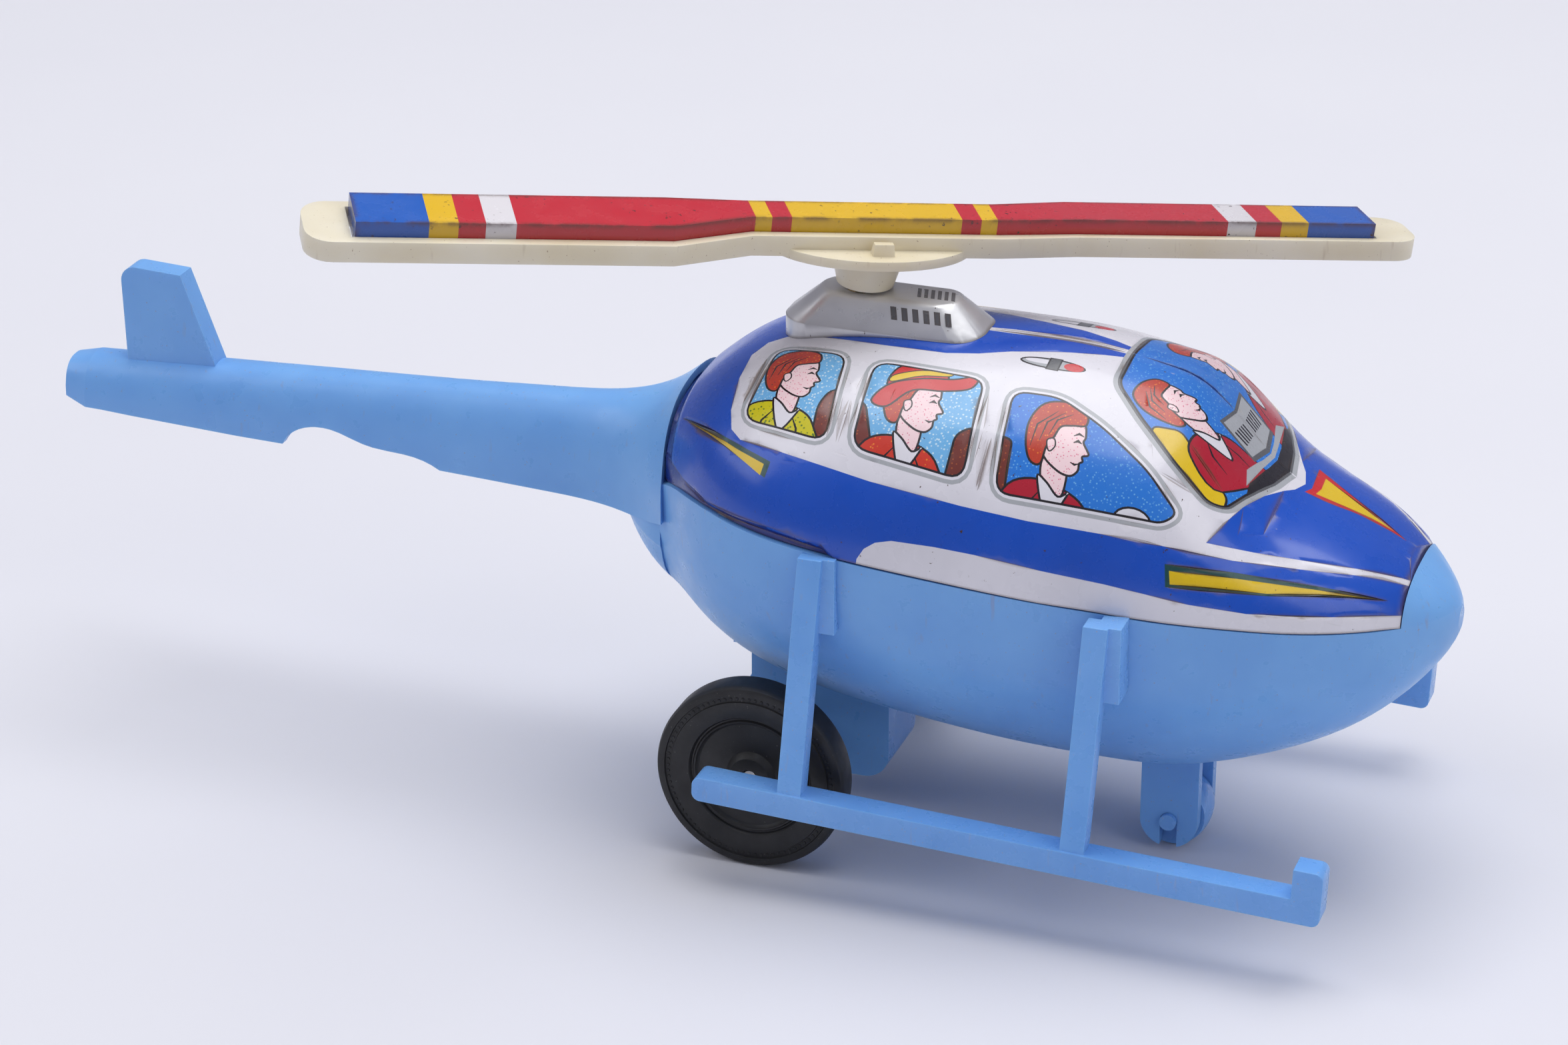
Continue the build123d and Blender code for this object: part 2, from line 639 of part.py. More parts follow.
with BuildPart() as axle_bushes:
    for start_y in (COVER_HALF_W + 0.4, 0.15 - PLATE_INNER_Y):
        with BuildSketch(side_plane(0, start_y, AXLE_Z)):
            Circle(BUSH_R)
            Circle(AXLE_R + FIT, mode=Mode.SUBTRACT)
        extrude(amount=COVER_HALF_W + 0.25 - PLATE_INNER_Y + 0.3)

lower_bush = shaft_ring(LOWER_BUSH_S, BUSH_R, ROTOR_SHAFT_R + FIT)
upper_bush = shaft_ring(UPPER_BUSH_S, UPPER_BUSH_R, ROTOR_SHAFT_R + FIT)

# ------------------------------------------------------------------ rear axle and wheels
rear_axle = cross_pin(0, AXLE_Z, (-30.6, 30.6), AXLE_R)

with BuildPart() as wheel_left:
    inner_y, outer_y = REAR_WHEEL_OUTER_Y - REAR_WHEEL_W, REAR_WHEEL_OUTER_Y
    with BuildSketch(cross_plane(0, AXLE_Z)) as half_wheel:
        with BuildLine():
            Polyline(
                (inner_y, AXLE_R + PRESS),
                (outer_y - 0.2, AXLE_R + PRESS),
                (outer_y - 0.2, 3.4),
                (outer_y - 1.3, 4.0),
                (outer_y - 1.3, 0.60 * REAR_WHEEL_R),
                (outer_y - 0.5, 0.66 * REAR_WHEEL_R),
                (outer_y, 0.8 * REAR_WHEEL_R),
                (outer_y, REAR_WHEEL_R),
                (inner_y, REAR_WHEEL_R),
                (inner_y, 0.8 * REAR_WHEEL_R),
                (inner_y + 1.2, 0.72 * REAR_WHEEL_R),
                (inner_y + 1.2, 4.0),
                (inner_y, 4.0),
                close=True,
            )
        make_face()
        fillet(half_wheel.vertices().group_by(Axis.Y)[-1], 0.8)
    revolve(axis=Axis((0, 0, AXLE_Z), (0, 1, 0)))

with BuildPart() as wheel_right:
    mirror(wheel_left.part, about=Plane.XZ)

with BuildPart() as front_wheel:
    half_width = FRONT_WHEEL_W / 2
    with BuildSketch(cross_plane(FRONT_WHEEL_X, FRONT_WHEEL_R)):
        with BuildLine():
            ThreePointArc(
                (-half_width, FRONT_WHEEL_R - 0.4), (0, FRONT_WHEEL_R), (half_width, FRONT_WHEEL_R - 0.4)
            )
            Polyline(
                (half_width, FRONT_WHEEL_R - 0.4),
                (half_width, STUB_R),
                (STUB_END_Y, STUB_R),
                (STUB_END_Y, 0),
                (-STUB_END_Y, 0),
                (-STUB_END_Y, STUB_R),
                (-half_width, STUB_R),
                (-half_width, FRONT_WHEEL_R - 0.4),
            )
        make_face()
    revolve(axis=Axis((FRONT_WHEEL_X, 0, FRONT_WHEEL_R), (0, 1, 0)))

# ------------------------------------------------------------------ gear train
axle_gear = spur_gear(0, AXLE_Z, AXLE_GEAR_Y, AXLE_TEETH, IDLER_DIRECTION, AXLE_R + PRESS)
idler_pinion = spur_gear(
    IDLER_X, IDLER_Z, IDLER_PINION_Y, IDLER_PINION_TEETH,
    IDLER_DIRECTION + 180 + 180 / IDLER_PINION_TEETH, THIN_SHAFT_R + PRESS,
)
flywheel_pinion = spur_gear(
    FLYWHEEL_X, FLYWHEEL_Z, FLYWHEEL_PINION_Y, FLYWHEEL_TEETH,
    FLYWHEEL_ANGLE + 180 + 180 / FLYWHEEL_TEETH, THIN_SHAFT_R + PRESS,
)
shaft_reach = PLATE_INNER_Y + PLATE_T + 0.1
idler_shaft = cross_pin(IDLER_X, IDLER_Z, (-shaft_reach, shaft_reach), THIN_SHAFT_R)
flywheel_shaft = cross_pin(FLYWHEEL_X, FLYWHEEL_Z, (-shaft_reach, FLYWHEEL_Y[1] + 0.6), THIN_SHAFT_R)

# spur teeth on its rim, and crown teeth on the face that meets the rotor's pinion
with BuildPart() as crown_gear:
    add(spur_gear(IDLER_X, IDLER_Z, IDLER_GEAR_Y, IDLER_TEETH, FLYWHEEL_ANGLE, THIN_SHAFT_R + PRESS))
    first_tooth = 90 - ROTOR_TILT + 180 / CROWN_TEETH
    with BuildSketch(side_plane(IDLER_X, IDLER_GEAR_Y[0], IDLER_Z)):
        with PolarLocations((CROWN_INNER_R + CROWN_OUTER_R) / 2, CROWN_TEETH, start_angle=first_tooth):
            Rectangle(CROWN_OUTER_R - CROWN_INNER_R, CROWN_TOOTH_T)
    extrude(amount=IDLER_GEAR_Y[0] - CROWN_TIP_Y)

with BuildPart() as flywheel:
    with BuildSketch(side_plane(FLYWHEEL_X, FLYWHEEL_Y[1], FLYWHEEL_Z)):
        Circle(FLYWHEEL_R)
        Circle(THIN_SHAFT_R + PRESS, mode=Mode.SUBTRACT)
    extrude(amount=FLYWHEEL_Y[1] - FLYWHEEL_Y[0])
    with BuildSketch(side_plane(FLYWHEEL_X, FLYWHEEL_Y[1], FLYWHEEL_Z)):
        Circle(FLYWHEEL_R - 2)
        Circle(THIN_SHAFT_R + 1.5, mode=Mode.SUBTRACT)
    extrude(amount=1.5, mode=Mode.SUBTRACT)

# ------------------------------------------------------------------ rotor shaft
with BuildPart() as rotor_shaft:
    with BuildSketch(shaft_plane(SHAFT_S[0])):
        Circle(ROTOR_SHAFT_R)
    extrude(amount=SHAFT_S[1] - SHAFT_S[0])
    chamfer(rotor_shaft.edges().filter_by(GeomType.CIRCLE), 0.3)

with BuildPart() as rotor_pinion:
    with BuildSketch(shaft_plane(ROTOR_PINION_S[0])):
        Polygon(*gear_corners(ROTOR_PINION_TEETH, 90, CROWN_MODULE), align=None)
        Circle(ROTOR_SHAFT_R + PRESS, mode=Mode.SUBTRACT)
    extrude(amount=ROTOR_PINION_S[1] - ROTOR_PINION_S[0])

shaft_collar = shaft_ring(COLLAR_S, COLLAR_R, ROTOR_SHAFT_R + PRESS)


# ------------------------------------------------------------------ rotor
def rotor_section(u, inset, low, high):
    """Section across the rotor at u along its arms, between two heights, drawn in at both edges."""
    share = min(max((abs(u) - KINK_START_U) / (KINK_END_U - KINK_START_U), 0), 1)
    wide = SPINE_HALF_W + share * (ARM_FAR_V - SPINE_HALF_W)
    near, far = (-SPINE_HALF_W, wide) if u > 0 else (-wide, SPINE_HALF_W)
    rise = -copysign(share, u) * tan(radians(BLADE_PITCH))
    near, far = near + inset, far - inset
    return [
        (near, low + rise * near), (far, low + rise * far), (far, high + rise * far), (near, high + rise * near)
    ]


def rotor_bar(end_u, inset, low, high):
    """Bar along both arms, out to end_u, that follows the kinks and the pitch of the arms."""
    hub = shaft_plane(FRAME_S, ROTOR_AZIMUTH)
    with BuildPart() as bar:
        for u in (-end_u, -KINK_END_U, -KINK_START_U, KINK_START_U, KINK_END_U, end_u):
            section_plane = Plane(origin=hub.origin + hub.x_dir * u, x_dir=hub.y_dir, z_dir=hub.x_dir)
            with BuildSketch(section_plane):
                with BuildLine():
                    Polyline(*rotor_section(u, inset, low, high), close=True)
                make_face()
        loft(ruled=True)
    return bar.part


with BuildPart() as rotor_frame:
    add(rotor_bar(ARM, 0, 0, FRAME_H))
    add(rotor_bar(SLOT_END_U, RAIL, -1, FRAME_H + 1), mode=Mode.SUBTRACT)
    # bars across the slot, which carry the strip
    for u in CROSS_BARS:
        near, far = rotor_section(u, RAIL / 2, 0, 0)[:2]
        place = shaft_plane(FRAME_S, ROTOR_AZIMUTH)
        cross = Plane(origin=place.origin + place.x_dir * (u - 1), x_dir=place.y_dir, z_dir=place.x_dir)
        with BuildSketch(cross):
            with BuildLine():
                Polyline(near, far, (far[0], far[1] + STRIP_FOOT), (near[0], near[1] + STRIP_FOOT), near)
            make_face()
        extrude(amount=CROSS_BAR_W)
    # lug plate, stump of a peg on it, and the cup that takes the shaft
    with BuildSketch(shaft_plane(LUG_S, ROTOR_AZIMUTH)):
        Ellipse(LUG_U, LUG_V)
    extrude(amount=LUG_T)
    with BuildSketch(shaft_plane(LUG_S + LUG_T, ROTOR_AZIMUTH)):
        with Locations(PEG):
            Rectangle(3.4, 1.6)
    extrude(amount=1.8, taper=8)
    with BuildSketch(shaft_plane(CUP_S)):
        Circle(CUP_R_LOW)
    with BuildSketch(shaft_plane(LUG_S + 0.2)):
        Circle(CUP_R_HIGH)
    loft()
    with BuildSketch(shaft_plane(CUP_S - 1)):
        Circle(ROTOR_SHAFT_R + PRESS)
    extrude(amount=LUG_S + LUG_T + 2 - CUP_S, mode=Mode.SUBTRACT)

# printed tin strip, an upside-down channel that stands in the frame's slot
with BuildPart() as rotor_blade:
    strip_edge = RAIL + 0.12
    add(rotor_bar(STRIP_END_U, strip_edge, STRIP_FOOT, STRIP_TOP))
    inside = rotor_bar(STRIP_END_U - STRIP_T, strip_edge + STRIP_T, STRIP_FOOT - 1, STRIP_TOP - STRIP_T)
    add(inside, mode=Mode.SUBTRACT)

# ------------------------------------------------------------------ files
finish(lower_hull.part, "lower_hull")
finish(cabin_shell.part, "cabin_shell")
finish(engine_cowl.part, "engine_cowl")
finish(skid_right.part, "skid_right")
finish(skid_left.part, "skid_left")
finish(front_wheel.part, "front_wheel")
finish(motor_cover.part, "motor_cover")
finish(cover_screw, "cover_screw")
finish(motor_plate_right, "motor_plate_right")
finish(motor_plate_left, "motor_plate_left")
finish(plate_pillars.part, "plate_pillars")
finish(motor_bridge.part, "motor_bridge")
finish(bridge_screws.part, "bridge_screws")
finish(axle_bushes.part, "axle_bushes")
finish(lower_bush, "rotor_bush_lower")
finish(upper_bush, "rotor_bush_upper")
finish(rear_axle, "rear_axle")
finish(wheel_right.part, "wheel_right")
finish(wheel_left.part, "wheel_left")
finish(axle_gear, "axle_gear")
finish(idler_pinion, "idler_pinion")
finish(crown_gear.part, "crown_gear")
finish(idler_shaft, "idler_shaft")
finish(flywheel_pinion, "flywheel_pinion")
finish(flywheel_shaft, "flywheel_shaft")
finish(flywheel.part, "flywheel")
finish(rotor_shaft.part, "rotor_shaft")
finish(rotor_pinion.part, "rotor_pinion")
finish(shaft_collar, "shaft_collar")
finish(rotor_frame.part, "rotor_frame")
finish(rotor_blade.part, "rotor_blade")
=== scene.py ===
"""Looks of a friction-drive toy helicopter: litho tin cabin, moulded plastic hull, tin-topped rotor.

Artwork on the cabin is drawn in (x, angle): x in millimetres along the body, and the angle in
degrees about the body's waist line, from 0 at the right-hand side over 90 on the roof.
"""
import json
from math import cos, pi, radians, sin

import bmesh
import bpy
import numpy as np
from mathutils import Matrix, Vector
from mathutils.bvhtree import BVHTree
from mathutils.geometry import delaunay_2d_cdt


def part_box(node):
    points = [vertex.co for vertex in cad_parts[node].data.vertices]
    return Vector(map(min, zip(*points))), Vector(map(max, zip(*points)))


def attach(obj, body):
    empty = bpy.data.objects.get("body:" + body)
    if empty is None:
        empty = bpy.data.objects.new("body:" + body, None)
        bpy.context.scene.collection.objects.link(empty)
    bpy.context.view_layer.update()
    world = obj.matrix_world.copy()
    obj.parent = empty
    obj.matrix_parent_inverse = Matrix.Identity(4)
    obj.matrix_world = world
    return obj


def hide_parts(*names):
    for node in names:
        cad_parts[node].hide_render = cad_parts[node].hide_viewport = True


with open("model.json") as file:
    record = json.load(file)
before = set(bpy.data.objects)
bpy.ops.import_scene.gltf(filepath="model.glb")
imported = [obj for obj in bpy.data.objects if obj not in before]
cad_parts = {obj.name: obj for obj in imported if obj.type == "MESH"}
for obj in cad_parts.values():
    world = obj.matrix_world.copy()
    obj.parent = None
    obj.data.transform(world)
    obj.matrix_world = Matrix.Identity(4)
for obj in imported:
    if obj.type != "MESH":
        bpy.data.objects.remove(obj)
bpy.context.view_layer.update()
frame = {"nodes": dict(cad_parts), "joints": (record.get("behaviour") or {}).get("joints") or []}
MM = 0.001

# ------------------------------------------------------------------ driving dimensions (mm)
WAIST_Z, WAIST_FALL = 53.6, 0.095
CABIN_X = (-19.3, 94.0)
TIN = 0.5
ROOF = 90.0                # degrees, the middle of the roof
UNDER_LACQUER = 0.03       # how far the print lies inside the CAD surface
MM_PER_DEGREE = 0.52       # along the cabin's sections
KEY_LINE = 0.32            # printed black outline
ROTOR_TILT, ROTOR_AZIMUTH = 6.0, 31.0
FRAME_CORNER_U = 78.0      # beyond this, upright edges of the rotor frame are its outer corners
STEP_IN = 0.85             # how far the tin steps in, to go inside the hull's rim
STEP_REAR_X = -16.9
STEP_FRONT_X = 15
CREASE = ((-19, 14), (-14, 9.4), (-8, 7.4), (3, 7.6), (12, 7.0), (STEP_FRONT_X, 3.2))  # x, angle


# ------------------------------------------------------------------ material helpers
def rgb(red, green, blue):
    """Linear colour from 0-255 screen values."""
    def linear(value):
        value /= 255
        return value / 12.92 if value <= 0.04045 else ((value + 0.055) / 1.055) ** 2.4
    return (linear(red), linear(green), linear(blue), 1.0)


class Nodes:
    """A material's node tree, with short calls that add and link nodes."""

    def __init__(self, name):
        self.material = bpy.data.materials.new(name)
        self.material.use_nodes = True
        self.tree = self.material.node_tree
        self.shader = self.tree.nodes["Principled BSDF"]
        self.place = self.add("ShaderNodeTexCoord").outputs["Object"]

    def add(self, kind, **settings):
        node = self.tree.nodes.new(kind)
        for key, value in settings.items():
            setattr(node, key, value)
        return node

    def link(self, source, target):
        self.tree.links.new(source, target)

    def noise(self, scale, detail=4.0, roughness=0.55, distortion=0.0, stretch=None):
        """Noise over object space; scale is per metre."""
        node = self.add("ShaderNodeTexNoise")
        node.inputs["Scale"].default_value = scale
        node.inputs["Detail"].default_value = detail
        node.inputs["Roughness"].default_value = roughness
        node.inputs["Distortion"].default_value = distortion
        source = self.place
        if stretch:
            mapping = self.add("ShaderNodeMapping")
            mapping.inputs["Scale"].default_value = stretch
            self.link(source, mapping.inputs["Vector"])
            source = mapping.outputs["Vector"]
        self.link(source, node.inputs["Vector"])
        return node.outputs["Fac"]

    def dots(self, scale, randomness=1.0):
        """Distance to the nearest of many small dots; scale is per metre."""
        node = self.add("ShaderNodeTexVoronoi")
        node.inputs["Scale"].default_value = scale
        node.inputs["Randomness"].default_value = randomness
        self.link(self.place, node.inputs["Vector"])
        return node.outputs["Distance"]

    def ramp(self, source, low, high, low_value=0.0, high_value=1.0):
        node = self.add("ShaderNodeMapRange")
        for socket, value in (
            ("From Min", low), ("From Max", high), ("To Min", low_value), ("To Max", high_value)
        ):
            node.inputs[socket].default_value = value
        self.link(source, node.inputs["Value"])
        return node.outputs["Result"]

    def mix(self, factor, first, second):
        """Colour mix; a colour may be a value or a socket."""
        node = self.add("ShaderNodeMix", data_type="RGBA")
        for socket, value in ((node.inputs[0], factor), (node.inputs[6], first), (node.inputs[7], second)):
            if hasattr(value, "is_output"):
                self.link(value, socket)
            else:
                socket.default_value = value
        return node.outputs[2]

    def math(self, operation, first, second):
        node = self.add("ShaderNodeMath", operation=operation)
        for socket, value in zip(node.inputs, (first, second)):
            if hasattr(value, "is_output"):
                self.link(value, socket)
            else:
                socket.default_value = value
        return node.outputs[0]

    def edges(self, width, low=0.0, high=1.0):
        """1 on sharp edges, 0 on flat ground, from the bevelled normal."""
        bevel = self.add("ShaderNodeBevel", samples=4)
        bevel.inputs["Radius"].default_value = width
        geometry = self.add("ShaderNodeNewGeometry")
        dot = self.add("ShaderNodeVectorMath", operation="DOT_PRODUCT")
        self.link(bevel.outputs["Normal"], dot.inputs[0])
        self.link(geometry.outputs["True Normal"], dot.inputs[1])
        return self.ramp(dot.outputs["Value"], 0.995, 0.9, low, high)

    def bump(self, height, strength, distance):
        node = self.add("ShaderNodeBump")
        node.inputs["Strength"].default_value = strength
        node.inputs["Distance"].default_value = distance
        self.link(height, node.inputs["Height"])
        self.link(node.outputs["Normal"], self.shader.inputs["Normal"])

    def finish(self, colour, roughness, metallic=0.0, **inputs):
        if metallic:
            inputs["Metallic"] = metallic
        inputs["Base Color"], inputs["Roughness"] = colour, roughness
        for socket, value in inputs.items():
            target = self.shader.inputs[socket.replace("_", " ")]
            if hasattr(value, "is_output"):
                self.link(value, target)
            else:
                target.default_value = value
        return self.material


def moulded_plastic(name, colour, shade, dirt, gloss=0.3, glow=0.12):
    """Injection-moulded plastic: soft mottling, fine scuffs and grime in places."""
    m = Nodes(name)
    base = m.mix(m.ramp(m.noise(60, 3), 0.35, 0.7), colour, shade)
    scuffs = m.ramp(m.noise(900, 2, stretch=(1, 1, 0.15)), 0.66, 0.8, 0, 0.35)
    base = m.mix(scuffs, base, dirt)
    specks = m.ramp(m.noise(2600, 1), 0.74, 0.78, 0, 0.7)
    base = m.mix(specks, base, dirt)
    rough = m.ramp(m.noise(300, 5), 0.3, 0.7, gloss - 0.06, gloss + 0.12)
    m.bump(m.noise(420, 3), 0.06, 0.0004)
    return m.finish(
        base, rough, Subsurface_Weight=glow, Subsurface_Radius=(0.002, 0.002, 0.003), Subsurface_Scale=1.0
    )


def litho_ink(name, colour, second=None, dot_scale=1500, cover=(0.22, 0.34)):
    """Printed ink on tin under clear lacquer. A second colour is screened over it as fine dots."""
    m = Nodes(name)
    base = colour
    if second:
        base = m.mix(m.ramp(m.dots(dot_scale), cover[0], cover[1]), second, colour)
    base = m.mix(m.ramp(m.noise(35, 4), 0.35, 0.75, 0, 0.16), base, (0.02, 0.02, 0.05, 1))
    chips = m.math(
        "MULTIPLY", m.ramp(m.noise(1300, 3), 0.70, 0.73), m.ramp(m.noise(150, 2), 0.48, 0.56)
    )
    base = m.mix(chips, base, rgb(70, 45, 30))
    scratches = m.ramp(m.noise(700, 2, distortion=0.6, stretch=(0.12, 1, 1)), 0.74, 0.78, 0, 0.45)
    base = m.mix(scratches, base, rgb(205, 205, 210))
    base = m.mix(m.edges(0.0006, 0, 0.75), base, rgb(95, 70, 50))
    m.bump(m.noise(500, 3), 0.05, 0.0003)
    rough = m.ramp(m.noise(220, 4), 0.3, 0.7, 0.2, 0.36)
    return m.finish(base, rough, Coat_Weight=0.35, Coat_Roughness=0.12)


def bare_metal(name, colour, rough=0.35, grain=(1, 30, 1)):
    m = Nodes(name)
    base = m.mix(m.noise(400, 4, stretch=grain), colour, tuple(0.7 * part for part in colour[:3]) + (1,))
    m.bump(m.noise(900, 3, stretch=grain), 0.15, 0.0002)
    return m.finish(base, m.ramp(m.noise(500, 4), 0.3, 0.7, rough - 0.1, rough + 0.15), 0.95)


# ------------------------------------------------------------------ materials
INKS = {
    "blue": litho_ink("ink_cobalt_blue", rgb(3, 78, 192)),
    # painted shade: a darker blue for where the tin steps in under the hull's rim, and for the tin's inside
    # and cut edges
    "painted_shade_blue": litho_ink("painted_shade_blue_tin", rgb(5, 38, 132)),
    "white": litho_ink("ink_white", rgb(226, 224, 232)),
    "grey": litho_ink("ink_grey", rgb(172, 175, 180)),
    "dark_grey": litho_ink("ink_dark_grey", rgb(92, 94, 98)),
    "black": litho_ink("ink_black", rgb(24, 20, 26)),
    "yellow": litho_ink("ink_yellow", rgb(226, 190, 12)),
    "green": litho_ink("ink_green", rgb(16, 72, 70)),
    "red": litho_ink("ink_red", rgb(203, 28, 36)),
    "sky": litho_ink("ink_sky_screen", rgb(110, 178, 228), rgb(205, 228, 242), 1900, (0.2, 0.36)),
    "deep_sky": litho_ink("ink_deep_sky_screen", rgb(32, 118, 212), rgb(110, 178, 232), 1900, (0.12, 0.3)),
    "skin": litho_ink("ink_skin_screen", rgb(244, 214, 218), rgb(218, 92, 132), 2300, (0.16, 0.26)),
    "auburn": litho_ink("ink_auburn_screen", rgb(186, 52, 26), rgb(232, 128, 30), 1700, (0.14, 0.26)),
    "brown": litho_ink("ink_brown_screen", rgb(112, 44, 34), rgb(168, 84, 40), 1700, (0.14, 0.26)),
    "olive": litho_ink("ink_olive_screen", rgb(206, 196, 30), rgb(86, 120, 40), 1500, (0.18, 0.3)),
    "rust_coat": litho_ink("ink_orange_screen", rgb(206, 52, 30), rgb(240, 140, 40), 1500, (0.14, 0.24)),
    "crimson": litho_ink("ink_crimson", rgb(176, 18, 44)),
}
hull_plastic = moulded_plastic(
    "hull_pale_blue_plastic", rgb(112, 168, 232), rgb(122, 178, 238), rgb(150, 140, 160)
)
skid_plastic = moulded_plastic(
    "skid_pale_blue_plastic", rgb(110, 166, 232), rgb(124, 178, 240), rgb(170, 160, 175), gloss=0.26
)
cream_plastic = moulded_plastic(
    "rotor_cream_plastic", rgb(232, 224, 202), rgb(222, 210, 180), rgb(150, 120, 85), gloss=0.34, glow=0.2
)
gear_plastic = moulded_plastic(
    "gear_natural_plastic", rgb(222, 218, 204), rgb(206, 200, 184), rgb(120, 110, 95), gloss=0.4
)
steel = bare_metal("bright_steel", (0.5, 0.5, 0.5, 1))
brass = bare_metal("turned_brass", (0.6, 0.42, 0.16, 1), 0.3)
iron = bare_metal("cast_flywheel", (0.2, 0.2, 0.21, 1), 0.5)


def black_wheel_plastic():
    m = Nodes("black_wheel_plastic")
    dust = m.ramp(m.noise(160, 5), 0.45, 0.75, 0, 0.35)
    base = m.mix(dust, rgb(26, 26, 28), rgb(58, 56, 58))
    base = m.mix(m.ramp(m.noise(2200, 2), 0.7, 0.76, 0, 0.5), base, rgb(110, 106, 104))
    m.bump(m.noise(900, 3), 0.12, 0.0003)
    return m.finish(base, m.ramp(m.noise(260, 4), 0.3, 0.7, 0.42, 0.6))


def silver_tin():
    m = Nodes("silver_lacquered_tin")
    base = m.mix(m.ramp(m.noise(90, 4), 0.35, 0.7), rgb(222, 222, 224), rgb(202, 202, 206))
    chips = m.math("MULTIPLY", m.ramp(m.noise(1100, 2), 0.69, 0.72), m.ramp(m.noise(130, 2), 0.5, 0.56))
    base = m.mix(chips, base, rgb(60, 36, 24))
    base = m.mix(m.edges(0.0006, 0, 0.6), base, rgb(120, 110, 100))
    m.bump(m.noise(600, 3), 0.08, 0.0003)
    return m.finish(base, m.ramp(m.noise(240, 4), 0.3, 0.7, 0.26, 0.4), 0.55)


wheel_black = black_wheel_plastic()
cowl_silver = silver_tin()


# ------------------------------------------------------------------ the cabin's surface
def waist(x):
    return WAIST_Z - WAIST_FALL * x


class CabinSurface:
    """The tin's outer surface as a smooth radius over (x, angle), read from the CAD shell."""

    def __init__(self):
        mesh = frame["nodes"]["cabin_shell"].data
        tree = BVHTree.FromPolygons([v.co for v in mesh.vertices], [p.vertices for p in mesh.polygons])
        self.x = np.linspace(CABIN_X[0] + 0.05, CABIN_X[1] - 0.05, 95)
        self.angle = np.linspace(-15, 195, 106)
        self.table = np.full((len(self.x), len(self.angle)), np.nan)
        self.low = []
        for row, x in enumerate(self.x):
            for column, angle in enumerate(self.angle):
                self.table[row, column] = self.cast(tree, x, angle)
            hits = [angle for angle in np.arange(-14, 24, 0.25) if np.isfinite(self.cast(tree, x, angle))]
            self.low.append(hits[0])
        self.fill()
        self.low = np.convolve(np.pad(self.low, 2, mode="edge"), np.ones(5) / 5, mode="valid")

    def cast(self, tree, x, angle):
        axis = Vector((x, 0, waist(x))) * MM
        way = Vector((0, -cos(radians(angle)), sin(radians(angle))))
        hit = tree.ray_cast(axis + way * 0.06, -way, 0.058)[0]
        return (hit - axis).length / MM if hit else np.nan

    def fill(self):
        """Closes the bush's hole and carries the sides straight down past the rim, then smooths."""
        middle = (self.angle > 30) & (self.angle < 150)
        for column in np.nonzero(middle)[0]:
            line = self.table[:, column]
            known = np.isfinite(line) & (line > 8)
            self.table[:, column] = np.interp(self.x, self.x[known], line[known])
        for row in range(len(self.x)):
            line = self.table[row]
            known = np.nonzero(np.isfinite(line))[0]
            for column in np.nonzero(~np.isfinite(line))[0]:
                near = known[0] if column < known[0] else known[-1]
                half_width = line[near] * abs(cos(radians(self.angle[near])))
                line[column] = half_width / abs(cos(radians(self.angle[column])))
        self.table = (self.table + self.table[:, ::-1]) / 2
        for _ in range(3):
            for axis in (0, 1):
                pad = [(1, 1), (0, 0)] if axis == 0 else [(0, 0), (1, 1)]
                wide = np.pad(self.table, pad, mode="reflect", reflect_type="odd")
                parts = [np.take(wide, range(k, k + self.table.shape[axis]), axis) for k in range(3)]
                self.table = (parts[0] + 2 * parts[1] + parts[2]) / 4

    def radius(self, x, angle):
        """Cubic reading of the table."""
        total = 0.0
        weights, places = [], []
        for value, grid in ((x, self.x), (angle, self.angle)):
            where = (value - grid[0]) / (grid[1] - grid[0])
            base = np.clip(np.floor(where), 1, len(grid) - 3).astype(int)
            t = where - base
            weights.append((
                (-t + 2 * t**2 - t**3) / 2, (2 - 5 * t**2 + 3 * t**3) / 2,
                (t + 4 * t**2 - 3 * t**3) / 2, (-t**2 + t**3) / 2,
            ))
            places.append(base)
        for i in range(4):
            for j in range(4):
                known = self.table[places[0] + i - 1, places[1] + j - 1]
                total = total + weights[0][i] * weights[1][j] * known
        return total

    def bottom(self, x):
        return np.interp(x, self.x, self.low)

    def points(self, x, angle, depth=0.0):
        """Places on the surface in metres, depth below it."""
        x, angle = np.asarray(x, float), np.asarray(angle, float)
        radius = self.radius(x, angle) - depth
        turn = np.radians(angle)
        return np.stack([x, -radius * np.cos(turn), waist(x) + radius * np.sin(turn)], -1) * MM


cabin = CabinSurface()


# ------------------------------------------------------------------ flat outlines
def smooth(points, steps=5):
    """Closed curve through the points."""
    points = np.asarray(points, float)
    before, after, beyond = np.roll(points, 1, 0), np.roll(points, -1, 0), np.roll(points, -2, 0)
    rows = []
    for step in range(steps):
        t = step / steps
        rows.append(
            0.5 * ((2 * points) + (after - before) * t + (2 * before - 5 * points + 4 * after - beyond) * t**2
                   + (3 * points - before - 3 * after + beyond) * t**3)
        )
    return np.stack(rows, 1).reshape(-1, 2)


def rounded(points, radius, steps=5):
    """Closed outline whose corners are rounded."""
    points = [np.asarray(point, float) for point in points]
    result = []
    for index, corner in enumerate(points):
        first, last = points[index - 1] - corner, points[(index + 1) % len(points)] - corner
        reach = min(radius, np.linalg.norm(first) * 0.45, np.linalg.norm(last) * 0.45)
        start = corner + first / np.linalg.norm(first) * reach
        end = corner + last / np.linalg.norm(last) * reach
        for step in range(steps + 1):
            t = step / steps
            result.append((1 - t) ** 2 * start + 2 * t * (1 - t) * corner + t**2 * end)
    return np.array(result)


def area(points):
    x, y = points[:, 0], points[:, 1]
    return 0.5 * np.sum(x * np.roll(y, -1) - np.roll(x, -1) * y)


